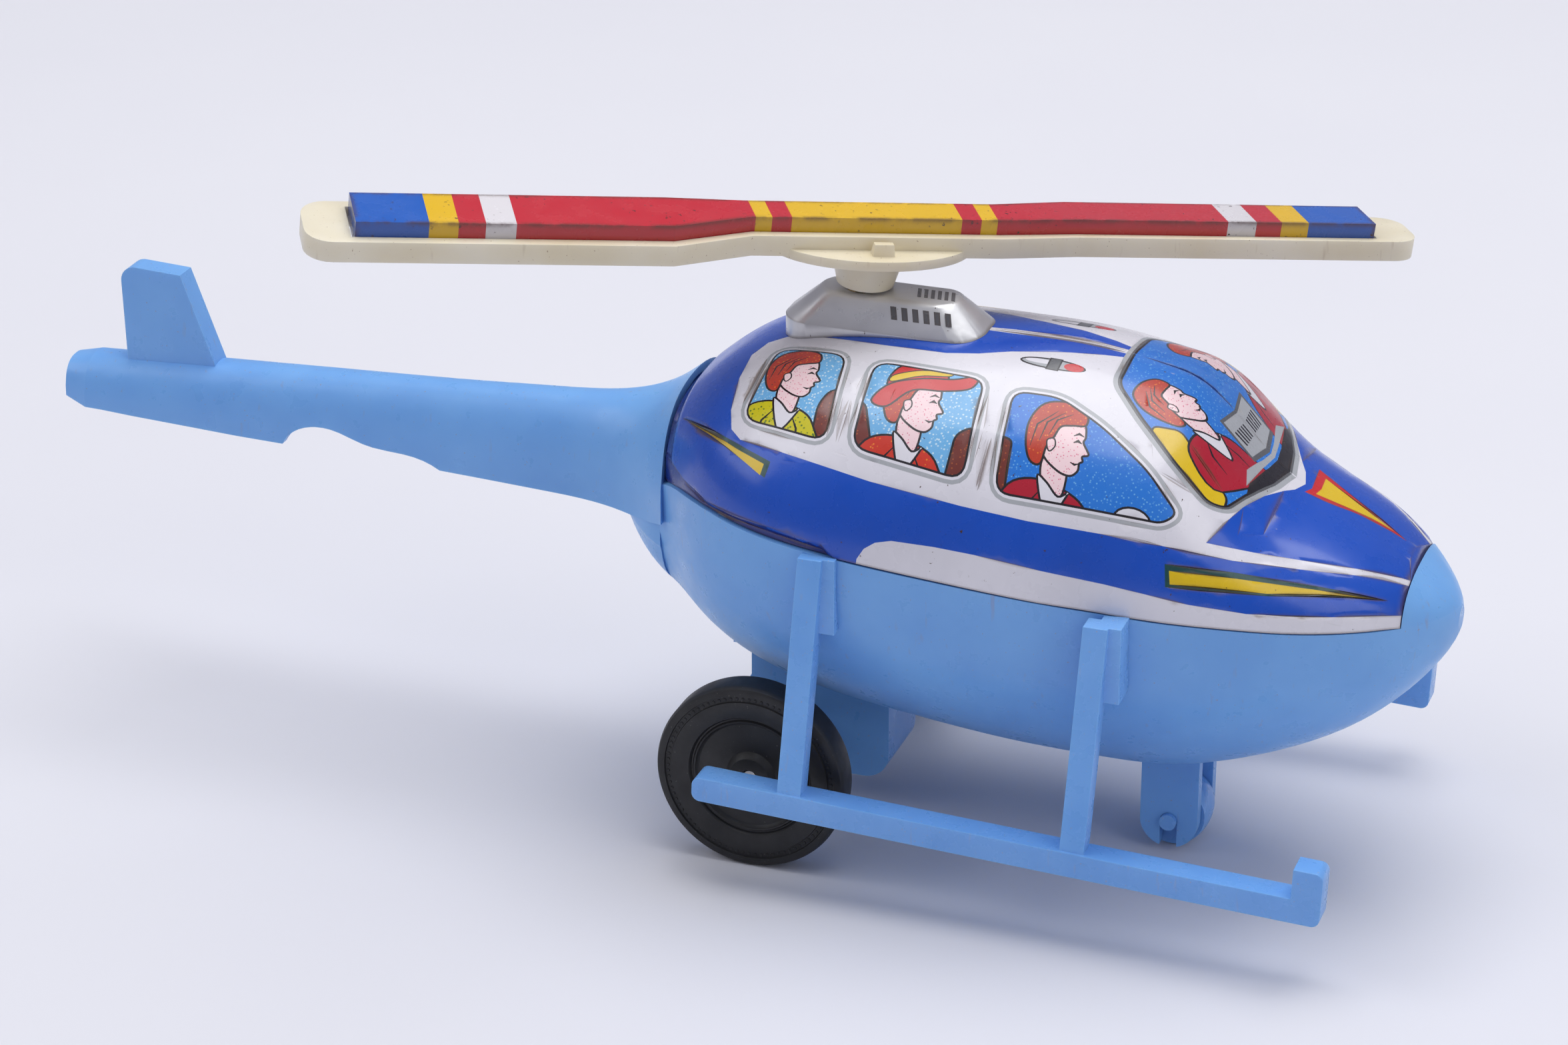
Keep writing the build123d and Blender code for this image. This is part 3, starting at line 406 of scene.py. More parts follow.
def offset(points, distance):
    """The outline moved outwards by distance."""
    points = np.asarray(points, float)
    along = np.roll(points, -1, 0) - np.roll(points, 1, 0)
    along /= np.maximum(np.linalg.norm(along, axis=1, keepdims=True), 1e-9)
    outward = np.stack([along[:, 1], -along[:, 0]], 1) * (1 if area(points) > 0 else -1)
    return points + outward * distance


def stroke(points, width):
    """A pen stroke that thins towards both ends."""
    points = np.asarray(points, float)
    along = np.gradient(points, axis=0)
    along /= np.linalg.norm(along, axis=1, keepdims=True)
    side = np.stack([-along[:, 1], along[:, 0]], 1)
    share = np.linspace(0, 1, len(points))[:, None]
    half = width * (0.25 + 0.75 * np.sin(pi * share)) / 2
    return np.concatenate([points + side * half, (points - side * half)[::-1]])


# ------------------------------------------------------------------ printed artwork of the cabin
class Artwork:
    """Painter's list of closed outlines in flat millimetres: x along the body, h around it."""

    def __init__(self):
        self.shapes = []

    def fill(self, points, ink, within=None):
        self.shapes.append((np.asarray(points, float), ink, within))
        return len(self.shapes) - 1

    def both(self, points, ink, within=None):
        """The same shape on the right-hand side and mirrored on the left."""
        points = np.asarray(points, float)
        mirrored = points * (1, -1) + (0, 180 * MM_PER_DEGREE)
        other = None if within is None else within[1]
        first = self.fill(points, ink, None if within is None else within[0])
        return first, self.fill(mirrored, ink, other)

    def inked(self, points, ink, within=None, line=KEY_LINE):
        """A shape with a black key line."""
        self.both(offset(points, line / 2), "black", within)
        return self.both(offset(points, -line / 2), ink, within)


def flat(points):
    """(x, angle) points in flat millimetres."""
    return [(x, angle * MM_PER_DEGREE) for x, angle in points]


def ellipse(centre, across, up, steps=20):
    turn = np.linspace(0, 2 * pi, steps, endpoint=False)
    return np.stack([centre[0] + across * np.cos(turn), centre[1] + up * np.sin(turn)], 1)


def passenger(art, place, size, look, hair, coat, within, hat=False, turn=0.0):
    """Head and shoulders in profile, ten units high; look is +1 facing forwards, -1 backwards."""
    spin = np.array([[cos(turn), sin(turn)], [-sin(turn), cos(turn)]])

    def put(points):
        return (np.asarray(points, float) * (look, 1)) @ spin * size + place

    def ink_in(points, ink, line=KEY_LINE):
        art.inked(smooth(put(points)), ink, within, line)

    def pen(points, width=0.35):
        art.both(stroke(put(points), width), "black", within)

    ink_in([(-7.5, -12), (-6.6, -5.6), (-3, -3.4), (2, -4), (5.4, -6.2), (7, -12)], coat)
    pen([(-3.6, -10), (-3.0, -7), (-1.2, -4.4)])
    pen([(3.4, -10), (3.0, -7.4), (1.4, -5)])
    ink_in([(-1.6, -3.4), (-1.8, 0), (1.4, 0), (1.8, -4.4), (0.4, -5.4)], "skin")
    ink_in([(-2.2, -3.0), (0.2, -8.2), (2.6, -4.2), (1.2, -5.0), (-0.8, -3.4)], "white")
    ink_in(
        [(-2.2, 0.4), (-2.4, 4.2), (-0.4, 6.8), (2.4, 6.2), (3.2, 4.2), (3.1, 3.2), (4.2, 1.7), (3.4, 1.2),
         (3.6, 0.5), (3.2, 0.1), (3.2, -1.0), (2.2, -1.9), (0.2, -1.5)],
        "skin",
    )
    ink_in(
        [(2.8, 6.0), (2.2, 8.2), (-0.6, 9.0), (-3.8, 8.0), (-5.2, 5.0), (-5.0, 1.6), (-3.8, -1.0),
         (-2.2, -1.2), (-1.9, 1.4), (-1.2, 3.0), (-0.6, 4.8), (1.0, 5.4)],
        hair,
    )
    for lean in (0.0, 1.1, 2.2):
        pen([(-4.2 + lean, 1.0 + lean), (-4.0 + lean * 1.2, 4.4 + lean * 0.6), (-1.6 + lean, 7.2)], 0.28)
    ink_in([(-1.7, 1.2), (-2.0, 2.4), (-1.1, 2.8), (-0.7, 1.8), (-1.2, 0.9)], "skin", 0.22)
    pen([(1.5, 3.9), (2.2, 4.4), (3.0, 4.1)], 0.42)
    pen([(1.7, 2.9), (2.3, 3.3), (2.9, 3.0)], 0.5)
    pen([(1.9, 0.0), (2.6, -0.2), (3.2, 0.1)], 0.36)
    if hat:
        ink_in([(-5.2, 4.6), (-4.9, 8.6), (-1.6, 10.6), (1.8, 10.2), (3.2, 7.4), (0.2, 6.2)], "red")
        ink_in([(-7.0, 1.6), (-5.0, 5.2), (-0.4, 7.2), (4.0, 8.0), (7.4, 9.4), (7.0, 6.8), (3.2, 5.4),
                (-1.4, 4.6), (-4.4, 1.0)], "red")
        ink_in([(-5.0, 5.6), (-1.0, 7.6), (3.1, 8.4), (3.2, 9.2), (-1.2, 8.8), (-5.0, 7.0)], "yellow", 0.2)


def window(art, corners, ink, radius=2.6):
    """Printed window: grey shaded frame, black line and the view; returns the clip for its contents."""
    outline = rounded(flat(corners), radius)
    art.both(offset(outline, 1.15), "grey")
    art.both(offset(outline, 0.55), "white")
    art.both(offset(outline, KEY_LINE / 2), "black")
    return art.both(offset(outline, -KEY_LINE / 2), ink)


def cabin_artwork():
    art = Artwork()

    # white band around the windows, the roof's front, and the stripe along the bonnet
    art.both(
        np.concatenate([
            flat([(-6.5, 38), (-5.4, 31.5), (-3.4, 28.8), (4.1, 27.8), (18.1, 25.6), (32.1, 24.8),
                  (42.2, 24.9), (52.1, 25.9), (61.7, 26.6), (71.0, 27.2), (79.9, 30.2), (87, 34.6),
                  (94.2, 41)]),
            flat([(94.2, 47), (87, 38.6), (79.5, 34.1), (73.3, 31.8), (67.2, 30.6), (69.4, 41), (72.6, 60),
                  (75.4, 78), (76.2, ROOF)]),
            flat([(50.2, ROOF), (50.2, 87.1), (45.9, 84.4), (41.0, 81.6), (32.4, 77.1), (28, 73.8),
                  (23.2, 71.8), (14, 72), (6.7, 73.8), (1, 76.6), (-3.0, 77.6), (-5.8, 74.8),
                  (-7.4, 66.2), (-7.3, 52)]),
        ]),
        "white",
    )
    art.both(flat([(27.2, ROOF + 0.6), (27.2, 88.8), (31, 88.4), (50.4, 88.6), (50.4, ROOF + 0.6)]), "white")

    # white band along the bottom
    art.both(
        flat([(16.6, -8), (17.6, 5.6), (18.6, 8.6), (20.2, 10.8), (22.6, 12.2), (29, 13.1), (35, 13.4),
              (45, 13.0), (54, 12.8), (60, 12.3), (66, 11.4), (74, 11.2), (85.5, 14), (94.2, 18.4),
              (94.2, -8)]),
        "white",
    )

    # darts on the blue band, and the arrow on the bonnet
    art.both(flat([(-16.2, 34.0), (-2.0, 26.6), (2.4, 24.6), (1.9, 20.0), (-4, 24.4)]), "green")
    art.both(flat([(-14.6, 32.4), (-3, 25.6), (1.4, 23.6), (1.1, 20.4), (-5, 25.4)]), "yellow")
    border = [(62.2, 21.8), (71.4, 23.6), (84.8, 25.4), (92.0, 25.8), (76.3, 18.0), (62.6, 15.4)]
    art.both(flat(border), "green")
    art.both(flat([(62.9, 20.2), (72, 21.8), (83, 23.7), (90.4, 25.2), (76.3, 18.8), (63.2, 16.4)]), "yellow")
    art.fill(flat([(76.6, 82), (77.2, 90), (76.6, 116), (91.4, 101)]), "red")
    art.fill(flat([(78.0, 87), (78.3, 96), (78.0, 111), (89.4, 101)]), "yellow")

    # side windows and who looks out of them
    first = window(art, [(-2.8, 67.5), (8.6, 64.8), (10.2, 33.4), (-3.8, 35.4)], "sky")
    second = window(art, [(13.6, 63.2), (30.8, 62.6), (31.8, 31.4), (14.4, 33.4)], "sky")
    third = window(art, [(35.6, 60.4), (42.4, 61.4), (49.8, 55.2), (57.6, 46.0), (62.8, 36.4), (61.0, 32.6),
                         (36.8, 30.2)], "deep_sky", 2.2)
    art.inked(rounded(flat([(8.0, 31), (7.4, 44), (8.6, 50), (12, 50), (12, 31)]), 1.4), "brown", first)
    art.inked(rounded(flat([(10, 31), (10, 49), (14.6, 47), (17.0, 36), (17, 30)]), 1.2), "brown", second)
    art.inked(rounded(flat([(29.0, 30), (29.2, 43), (31, 46), (34, 46), (34, 30)]), 1.0), "brown", second)
    art.inked(rounded(flat([(34, 28), (34.4, 46), (37.6, 45), (38.2, 28)]), 0.8), "brown", third)
    passenger(art, (2.2, 25.6), 0.98, 1, "auburn", "olive", first)
    passenger(art, (22.2, 23.6), 1.0, 1, "auburn", "rust_coat", second, hat=True)
    passenger(art, (44.6, 22.2), 1.02, 1, "auburn", "crimson", third)
    art.inked(ellipse((56.8, 16.2), 2.7, 1.9), "white", third)

    # windscreen with two pilots and the instrument panel
    screen_half = flat([(49.6, ROOF + 0.2), (49.8, 72.4), (54.6, 62), (60.4, 52), (66.4, 43.4), (68.6, 44.2),
                        (70.8, 56), (72.6, 70), (73.6, ROOF + 0.2)])
    whole = np.array(screen_half + [(x, 180 * MM_PER_DEGREE - h) for x, h in screen_half[::-1]])
    outline = rounded(whole, 1.6)
    art.fill(offset(outline, 1.2), "grey")
    art.fill(offset(outline, 0.5), "dark_grey")
    art.fill(offset(outline, 0.16), "black")
    clip = art.fill(offset(outline, -KEY_LINE / 2), "deep_sky")
    screen = (clip, clip)
    seat = rounded(flat([(58.5, 47), (56.4, 60), (60.5, 62), (68.4, 48), (68.4, 42)]), 1.0)
    art.inked(seat, "yellow", screen)
    passenger(art, (60.4, 70 * MM_PER_DEGREE), 0.92, 1, "auburn", "crimson", screen, turn=1.15)
    art.both(flat([(70.9, 36), (70.2, 60), (71.4, 78), (71.8, ROOF + 0.4), (74.5, ROOF + 0.4), (74, 40)]),
             "black", screen)
    art.both(flat([(70.0, 58), (69.3, 66), (70.4, 80), (70.8, ROOF + 0.4), (71.4, ROOF + 0.4), (71.0, 78)]),
             "grey", screen)
    art.both(flat([(64.2, 77), (65.0, ROOF + 0.4), (70.6, ROOF + 0.4), (69.7, 74)]), "dark_grey", screen)
    art.both(flat([(64.7, 78), (65.4, ROOF + 0.4), (70.0, ROOF + 0.4), (69.2, 75.4)]), "grey", screen)
    for step in range(5):
        start = 78.6 + 2.1 * step
        art.both(flat([(66.3 + 0.06 * step, start), (66.3 + 0.06 * step, start + 1.1),
                       (68.2, start + 1.1), (68.1, start)]), "black", screen)

    # a lamp on each side of the roof
    lamp = (39.4, 74.2 * MM_PER_DEGREE)
    art.inked(ellipse(lamp, 4.9, 1.15, 26), "grey")
    art.both(ellipse((lamp[0] - 1.9, lamp[1] + 0.25), 2.4, 0.55), "white")
    art.both(ellipse((lamp[0] + 3.2, lamp[1] + 0.02), 1.5, 0.95), "red")
    art.both(np.array([(-0.8, -1.5), (1.2, -1.5), (1.2, 1.5), (-0.8, 1.5)]) + lamp, "black")
    art.both(np.array([(-0.55, -1.3), (0.95, -1.3), (0.95, 1.3), (-0.55, 1.3)]) + lamp, "dark_grey")
    return art


# ------------------------------------------------------------------ the tin cabin itself
def joggle_depth(x, angle):
    """The tin steps in along its rear edge and low on its rear half, to go inside the hull's rim."""
    side = np.minimum(angle, 180 - angle)
    crease = np.interp(x, *zip(*CREASE))
    low = np.clip((crease - side) * MM_PER_DEGREE / 0.9, 0, 1)
    rear = np.clip((STEP_REAR_X - x) / 0.8, 0, 1)
    return STEP_IN * np.maximum(low * (x < STEP_FRONT_X), rear)


def point_in(outline, points):
    """Even-odd test of many points against one outline."""
    inside = np.zeros(len(points), bool)
    x, y = points[:, 0], points[:, 1]
    for (ax, ay), (bx, by) in zip(outline, np.roll(outline, -1, 0)):
        crosses = (ay > y) != (by > y)
        if ay != by:
            inside ^= crosses & (x < (bx - ax) * (y - ay) / (by - ay) + ax)
    return inside


def cabin_edge():
    """Closed outline of the tin's flat pattern."""
    along = np.linspace(CABIN_X[0], CABIN_X[1], 120)
    bottom = np.stack([along, cabin.bottom(along) * MM_PER_DEGREE], 1)
    return np.concatenate([bottom, (bottom * (1, -1) + (0, 180 * MM_PER_DEGREE))[::-1]])


def build_cabin():
    art = cabin_artwork()
    edge = cabin_edge()
    span = 180 * MM_PER_DEGREE
    crease = flat(CREASE)
    points, edges = [], []

    def chain(outline, closed=True):
        start = len(points)
        points.extend(Vector(point) for point in outline)
        count = len(outline)
        edges.extend((start + k, start + (k + 1) % count) for k in range(count if closed else count - 1))

    chain(edge)
    for shape, _, _ in art.shapes:
        chain(shape)
    for mirror in (False, True):
        for lower in (0.0, 0.9):
            chain([(x, span - h + lower if mirror else h - lower) for x, h in crease], closed=False)
    for x in (STEP_REAR_X, STEP_REAR_X - 0.8):
        chain([(x, h) for h in np.linspace(6, span - 6, 60)], closed=False)
    pitch = 1.15
    rows = np.arange(CABIN_X[0] + 0.6, CABIN_X[1] - 0.3, pitch)
    grid_x, grid_h = np.meshgrid(rows, np.arange(-4, span + 4, 1.0))
    grid = np.stack([grid_x.ravel(), grid_h.ravel()], 1)
    grid[:, 1] += 0.5 * (np.round(grid[:, 0] / pitch) % 2)
    points.extend(Vector(point) for point in grid[point_in(edge, grid)])

    made, _, triangles = delaunay_2d_cdt(points, edges, [], 0, 1e-4, False)[:3]
    made = np.array([tuple(point) for point in made])
    triangles = np.array(triangles)
    middle = made[triangles].mean(1)
    keep = point_in(edge, middle)
    triangles, middle = triangles[keep], middle[keep]
    names = list(INKS)
    ink = np.full(len(triangles), names.index("blue"))
    inside = []
    for shape, name, within in art.shapes:
        mask = point_in(shape, middle)
        if within is not None:
            mask &= inside[within]
        inside.append(mask)
        ink[mask] = names.index(name)
    # Blue on the stepped-in strip is printed darker as painted shade, where the tin goes in under the hull's
    # rim.
    shaded_step = joggle_depth(middle[:, 0], middle[:, 1] / MM_PER_DEGREE) > 0.4
    ink[shaded_step & (ink == names.index("blue"))] = names.index("painted_shade_blue")

    angle = made[:, 1] / MM_PER_DEGREE
    depth = joggle_depth(made[:, 0], angle) + UNDER_LACQUER
    outer = cabin.points(made[:, 0], angle, depth)
    inner = cabin.points(made[:, 0], angle, depth + TIN)
    count = len(made)
    faces = [tuple(triangle) for triangle in triangles]
    sides = {}
    for a, b, c in faces:
        for pair in ((a, b), (b, c), (c, a)):
            sides[pair] = True
    rim = [pair for pair in sides if (pair[1], pair[0]) not in sides]
    corner, second, third = outer[triangles[0]]
    outward = np.cross(second - corner, third - corner) @ (corner - np.array((0.03, 0, 0.05))) > 0
    mesh = bpy.data.meshes.new("cabin_print")
    order = (lambda face: face) if outward else (lambda face: face[::-1])
    back = [order(tuple(index + count for index in face[::-1])) for face in faces]
    walls = [order((b, a, a + count, b + count)) for a, b in rim]
    front = [order(face) for face in faces]
    mesh.from_pydata(np.concatenate([outer, inner]).tolist(), [], front + back + walls)
    for name in names:
        mesh.materials.append(INKS[name])
    # The tin's inside and its cut edges get the same darker blue: painted shade.
    slots = list(ink) + [names.index("painted_shade_blue")] * (len(back) + len(walls))
    mesh.polygons.foreach_set("material_index", slots)
    mesh.polygons.foreach_set("use_smooth", [True] * (len(faces) + len(back)) + [False] * len(walls))
    mesh.update()
    piece = bpy.data.objects.new("cabin_print", mesh)
    bpy.context.scene.collection.objects.link(piece)
    mesh.set_sharp_from_angle(angle=radians(38))
    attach(piece, "root")
    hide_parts("cabin_shell")


build_cabin()


# ------------------------------------------------------------------ the rotor's printed strip
def rotor_axes():
    """Hub point, arm direction and shaft direction of the rotor."""
    tilt, turn = radians(ROTOR_TILT), radians(ROTOR_AZIMUTH)
    shaft = Vector((sin(tilt), 0, cos(tilt)))
    forward, left = Vector((cos(tilt), 0, -sin(tilt))), Vector((0, 1, 0))
    arm = forward * cos(turn) + left * sin(turn)
    joint = next(j for j in frame["joints"] if j["name"] == "rotor_spin")
    return Vector(joint["pos_m"]), arm, shaft


HUB, ARM, SHAFT = rotor_axes()
BANDS = [                  # from the rotor's middle outwards, where each band ends, in mm along the arm
    (13.0, "yellow"), (16.0, "red"), (18.5, "yellow"), (54.5, "red"), (59.0, "white"), (63.0, "red"),
    (67.3, "yellow"), (80.0, "blue"),
]
BAND_COLOURS = {
    "blue": rgb(14, 92, 190), "yellow": rgb(232, 186, 8),
    "red": rgb(198, 24, 44), "white": rgb(226, 222, 226),
}


def along_arm(m):
    """Distance along the rotor's arm from its middle, in metres, as a socket."""
    dot = m.add("ShaderNodeVectorMath", operation="DOT_PRODUCT")
    m.link(m.place, dot.inputs[0])
    dot.inputs[1].default_value = ARM
    return m.math("SUBTRACT", dot.outputs["Value"], HUB.dot(ARM))


def banded_strip():
    m = Nodes("rotor_strip_bands_and_painted_side_shade")
    reach = m.math("ABSOLUTE", along_arm(m), 0.0)
    base = BAND_COLOURS[BANDS[0][1]]
    for (end, _), (_, colour) in zip(BANDS, BANDS[1:]):
        base = m.mix(m.math("GREATER_THAN", reach, end * MM), base, BAND_COLOURS[colour])
    # Painted shade: faces of the strip that turn away from the shaft's direction, its sides, are darkened
    # towards near black.
    geometry = m.add("ShaderNodeNewGeometry")
    normal = m.add("ShaderNodeVectorMath", operation="DOT_PRODUCT")
    m.link(geometry.outputs["True Normal"], normal.inputs[0])
    normal.inputs[1].default_value = SHAFT
    side = m.ramp(normal.outputs["Value"], 0.3, 0.7, 0.25, 0.0)
    base = m.mix(side, base, (0.05, 0.02, 0.0, 1))
    worn = m.math("MULTIPLY", m.edges(0.0011), m.ramp(m.noise(260, 4), 0.36, 0.52))
    base = m.mix(worn, base, rgb(74, 40, 26))
    specks = m.math("MULTIPLY", m.ramp(m.noise(1200, 3), 0.66, 0.7), m.ramp(m.noise(90, 2), 0.46, 0.6))
    base = m.mix(specks, base, rgb(60, 34, 28))
    m.bump(m.noise(500, 3), 0.06, 0.0003)
    return m.finish(base, m.ramp(m.noise(220, 4), 0.3, 0.7, 0.18, 0.34), Coat_Weight=0.4, Coat_Roughness=0.1)


# ------------------------------------------------------------------ rear wheels
def revolve_mesh(name, profile, centre, steps=144):
    """Surface of revolution about a line along Y; profile is (y, radius) in mm."""
    mesh = bpy.data.meshes.new(name)
    vertices, faces = [], []
    count = len(profile)
    for step in range(steps):
        turn, after = 2 * pi * step / steps, (step + 1) % steps
        for y, radius in profile:
            x, z = centre[0] + radius * cos(turn) * MM, centre[1] + radius * sin(turn) * MM
            vertices.append((x, y * MM, z))
        for k in range(count):
            faces.append((step * count + k, step * count + (k + 1) % count,
                          after * count + (k + 1) % count, after * count + k))
    mesh.from_pydata(vertices, [], faces)
    mesh.update()
    return mesh


def join_bumps(mesh, centre, ring_r, y, count, size):
    """Adds a ring of small raised dots to a wheel's face."""
    work = bmesh.new()
    work.from_mesh(mesh)
    for step in range(count):
        turn = 2 * pi * step / count
        place = Vector((centre[0] + ring_r * cos(turn) * MM, y * MM, centre[1] + ring_r * sin(turn) * MM))
        made = bmesh.ops.create_uvsphere(work, u_segments=8, v_segments=6, radius=size * MM)
        for vertex in made["verts"]:
            vertex.co = Vector((vertex.co.x, vertex.co.y * 0.5, vertex.co.z)) + place
    work.to_mesh(mesh)
    work.free()


def rear_wheel(side):
    """Black wheel with a dished face, a groove, and a ring of moulded dots near its rim."""
    node = "wheel_left" if side > 0 else "wheel_right"
    low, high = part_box(node)
    inner, outer = sorted((abs(low[1]) / MM, abs(high[1]) / MM))
    centre = (0.0, (low[2] + high[2]) / 2)
    radius = (high[2] - low[2]) / 2 / MM
    face = [
        (outer - 0.2, 1.27), (outer - 0.2, 3.1), (outer - 0.45, 3.4), (outer - 1.2, 3.9), (outer - 1.3, 4.4),
        (outer - 1.3, 0.56 * radius), (outer - 1.15, 0.575 * radius), (outer - 0.7, 0.59 * radius),
        (outer - 0.62, 0.605 * radius), (outer - 0.95, 0.62 * radius), (outer - 0.95, 0.635 * radius),
        (outer - 0.45, 0.655 * radius), (outer - 0.15, 0.72 * radius), (outer - 0.04, 0.78 * radius),
        (outer - 0.04, 0.835 * radius), (outer - 0.3, 0.842 * radius), (outer - 0.3, 0.9 * radius),
        (outer - 0.04, 0.907 * radius), (outer - 0.04, 0.955 * radius), (outer - 0.2, 0.978 * radius),
        (outer - 0.6, 0.994 * radius), (outer - 1.0, radius), (inner + 0.8, radius),
        (inner + 0.25, 0.99 * radius), (inner, 0.965 * radius), (inner, 0.8 * radius),
        (inner + 1.2, 0.74 * radius), (inner + 1.2, 4.2), (inner + 0.2, 3.8), (inner, 3.6), (inner, 1.27),
    ]
    mesh = revolve_mesh("rear_" + node, [(side * y, r) for y, r in face], centre)
    join_bumps(mesh, centre, 0.871 * radius, side * (outer - 0.3), 84, 0.26)
    work = bmesh.new()
    work.from_mesh(mesh)
    bmesh.ops.recalc_face_normals(work, faces=work.faces)
    work.to_mesh(mesh)
    work.free()
    show("rear_" + node, mesh, wheel_black, "rear_wheels", node, 32)


def show(name, mesh, material, body, replaced=None, sharp=None):
    """Puts a mesh in the scene as a piece that rides on a body."""
    piece = bpy.data.objects.new(name, mesh)
    bpy.context.scene.collection.objects.link(piece)
    mesh.materials.clear()
    mesh.materials.append(material)
    if sharp:
        for polygon in mesh.polygons:
            polygon.use_smooth = True
        mesh.set_sharp_from_angle(angle=radians(sharp))
    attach(piece, body)
    if replaced:
        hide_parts(replaced)


for wheel_side in (1, -1):
    rear_wheel(wheel_side)


# ------------------------------------------------------------------ cowl grille, printed
GRILLE_ROWS = [            # foot of the first and of the last bar, head of the first, outward direction
    ((13.4, -5.3, 81.6), (21.9, -5.3, 81.6), (12.9, -4.3, 83.28), (0, -0.858, 0.513)),
    ((16.2, -1.5, 84.2), (21.5, -1.5, 84.2), (15.3, 1.8, 84.2), (0, 0, 1)),
]
GRILLE_BARS = 6
GRILLE_INK = 0.04          # thickness of the printed bars


def cowl_grille():
    """Two rows of slanted dark bars printed on the cowl, one on its slope and one on its roof."""
    vertices, faces = [], []
    for foot, last, head, outward in GRILLE_ROWS:
        foot, last, head, outward = Vector(foot), Vector(last), Vector(head), Vector(outward)
        pitch = (last - foot) / (GRILLE_BARS - 1)
        for step in range(GRILLE_BARS):
            corners = [foot + pitch * step, foot + pitch * (step + 0.55)]
            corners += [corners[1] + head - foot, corners[0] + head - foot]
            start = len(vertices)
            for lift in (-GRILLE_INK, GRILLE_INK):
                vertices += [(corner + outward * lift) * MM for corner in corners]
            faces += [(start + 4, start + 5, start + 6, start + 7), (start + 3, start + 2, start + 1, start)]
            for k in range(4):
                after = (k + 1) % 4
                faces.append((start + k, start + after, start + 4 + after, start + 4 + k))
    mesh = bpy.data.meshes.new("cowl_grille_print")
    mesh.from_pydata(vertices, [], faces)
    show("cowl_grille_print", mesh, INKS["dark_grey"], "root")


cowl_grille()


# ------------------------------------------------------------------ moulded edges
def softened(node, width, material, body, corner=0.0):
    """Copy of a CAD piece with its sharp edges rounded, as moulding and pressing leave them."""
    source = frame["nodes"][node]
    work = bmesh.new()
    work.from_mesh(source.data)
    work.transform(source.matrix_world)
    bmesh.ops.remove_doubles(work, verts=work.verts, dist=2e-6)
    bmesh.ops.dissolve_limit(work, angle_limit=radians(1.5), verts=work.verts, edges=work.edges)
    if corner:
        upright = [
            edge for edge in work.edges
            if abs((edge.verts[0].co - edge.verts[1].co).normalized().dot(SHAFT)) > 0.99
            and abs((edge.verts[0].co - HUB).dot(ARM)) > FRAME_CORNER_U * MM
            and edge.calc_face_angle(0) > radians(60) and edge.is_convex
        ]
        bmesh.ops.bevel(work, geom=upright, offset=corner * MM, segments=7, profile=0.5, affect="EDGES")
    sharp = [
        edge for edge in work.edges
        if len(edge.link_faces) == 2 and edge.calc_face_angle(0) > radians(35)
    ]
    bmesh.ops.bevel(
        work, geom=sharp, offset=width * MM, segments=3, profile=0.5, affect="EDGES", clamp_overlap=True
    )
    bmesh.ops.triangulate(work, faces=[face for face in work.faces if len(face.verts) > 4])
    mesh = bpy.data.meshes.new("soft_" + node)
    work.to_mesh(mesh)
    work.free()
    show("soft_" + node, mesh, material, body, node, 32)


softened("skid_right", 0.45, skid_plastic, "root")
softened("skid_left", 0.45, skid_plastic, "root")
softened("engine_cowl", 0.9, cowl_silver, "root")
softened("rotor_frame", 0.55, cream_plastic, "rotor", 4.0)


# ------------------------------------------------------------------ finishes of the CAD's own pieces
FINISHES = {
    "lower_hull": hull_plastic, "skid_right": skid_plastic, "skid_left": skid_plastic,
    "front_wheel": skid_plastic, "motor_cover": hull_plastic, "cabin_shell": INKS["blue"],
    "engine_cowl": cowl_silver, "rotor_frame": cream_plastic, "rotor_blade": banded_strip(),
    "axle_gear": gear_plastic, "crown_gear": gear_plastic, "rotor_pinion": gear_plastic,
    "axle_bushes": brass, "rotor_bush_lower": brass, "rotor_bush_upper": brass, "shaft_collar": brass,
    "idler_pinion": brass, "flywheel_pinion": brass, "flywheel": iron,
    "wheel_right": wheel_black, "wheel_left": wheel_black,
}
for node, item in frame["nodes"].items():
    item.data.materials.clear()
    item.data.materials.append(FINISHES.get(node, steel))


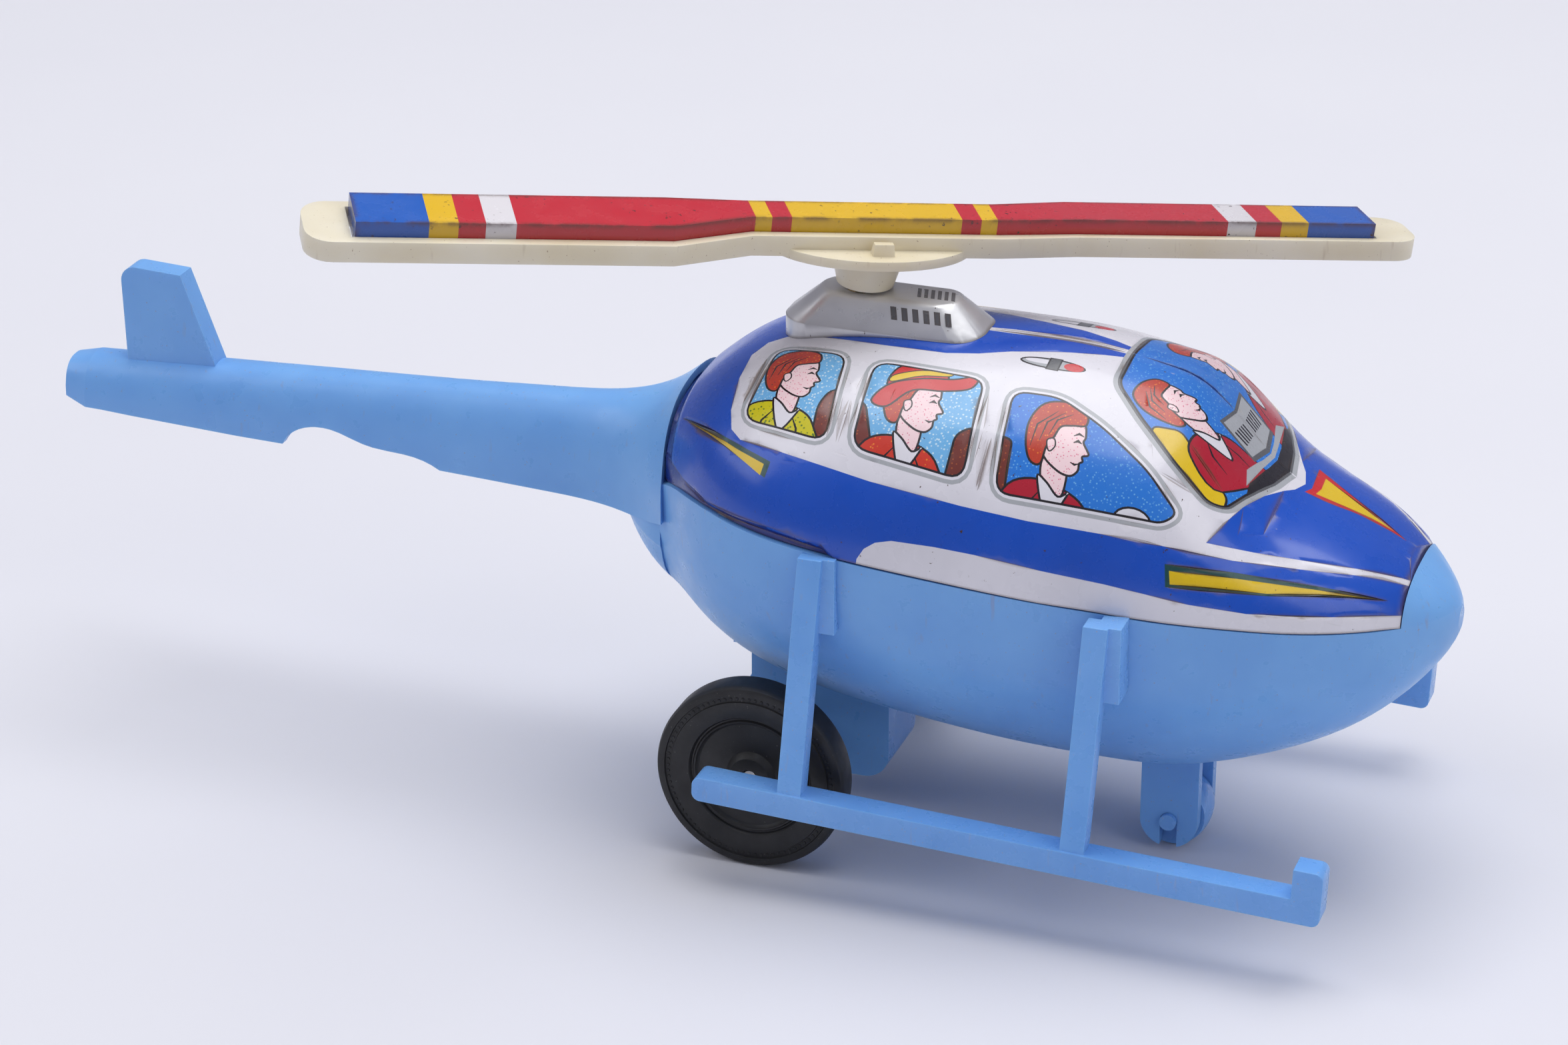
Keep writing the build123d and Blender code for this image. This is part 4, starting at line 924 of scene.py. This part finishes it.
# ------------------------------------------------------------------ floor, light and camera
def studio_floor():
    """Round pale floor that curves up into a wall on every side, far from the toy."""
    curve = [(2.4 + 0.8 * sin(turn), 0.8 - 0.8 * cos(turn)) for turn in np.linspace(0.0, pi / 2, 14)]
    profile = [(reach, 0.0) for reach in (0.5, 1.2, 1.9)] + curve + [(3.2, 2.6)]
    steps = 96
    turns = [2 * pi * step / steps for step in range(steps)]
    vertices = [(0, 0, 0)]
    vertices += [(reach * cos(turn), reach * sin(turn), z) for reach, z in profile for turn in turns]
    faces = [(0, 1 + k, 1 + (k + 1) % steps) for k in range(steps)]
    for row in range(len(profile) - 1):
        low, high = 1 + row * steps, 1 + (row + 1) * steps
        faces += [(low + k, high + k, high + (k + 1) % steps, low + (k + 1) % steps) for k in range(steps)]
    mesh = bpy.data.meshes.new("studio_floor")
    mesh.from_pydata(vertices, [], faces)
    for polygon in mesh.polygons:
        polygon.use_smooth = True
    m = Nodes("studio_paper")
    base = m.mix(m.ramp(m.noise(6, 3), 0.3, 0.7), rgb(226, 226, 232), rgb(223, 223, 230))
    m.bump(m.noise(1500, 2), 0.02, 0.0002)
    mesh.materials.append(m.finish(base, 0.9))
    floor = bpy.data.objects.new("studio_floor", mesh)
    bpy.context.scene.collection.objects.link(floor)


def area_light(name, place, aim, size, power, colour=(1, 1, 1)):
    light = bpy.data.lights.new(name, "AREA")
    light.shape, light.size, light.energy, light.color = "SQUARE", size, power, colour
    item = bpy.data.objects.new(name, light)
    item.location = place
    item.rotation_euler = (Vector(aim) - Vector(place)).to_track_quat("-Z", "Y").to_euler()
    bpy.context.scene.collection.objects.link(item)


def studio_light():
    aim = (0.0, 0.0, 0.04)
    area_light("overhead", (0.1, 0.25, 1.3), aim, 1.2, 14.5)
    area_light("left_window", (-1.1, -0.5, 0.9), aim, 0.9, 4.2, (0.97, 0.98, 1.0))
    area_light("right_window", (1.2, -0.5, 0.8), aim, 0.8, 3.2, (1.0, 0.99, 0.97))
    world = bpy.data.worlds.new("studio_air")
    world.use_nodes = True
    sky = world.node_tree.nodes["Background"]
    sky.inputs["Color"].default_value = (0.90, 0.91, 1.0, 1)
    sky.inputs["Strength"].default_value = 0.36
    bpy.context.scene.world = world


def photo_camera():
    """Long lens, three-quarter view from the right-hand side, slightly from above."""
    yaw, pitch, roll = radians(19.32), radians(24.29), radians(0.11)
    camera = bpy.data.cameras.new("camera")
    camera.lens, camera.sensor_width = 105.21, 36.0
    camera.clip_start, camera.clip_end = 0.05, 20
    item = bpy.data.objects.new("camera", camera)
    turn = Matrix.Rotation(yaw, 3, "Z") @ Matrix.Rotation(pi / 2 - pitch, 3, "X")
    item.rotation_euler = (turn @ Matrix.Rotation(roll, 3, "Z")).to_euler()
    item.location = (0.2082, -0.6090, 0.3346)
    bpy.context.scene.collection.objects.link(item)
    bpy.context.scene.camera = item


studio_floor()
studio_light()
photo_camera()
bpy.context.scene.view_settings.view_transform = "Standard"
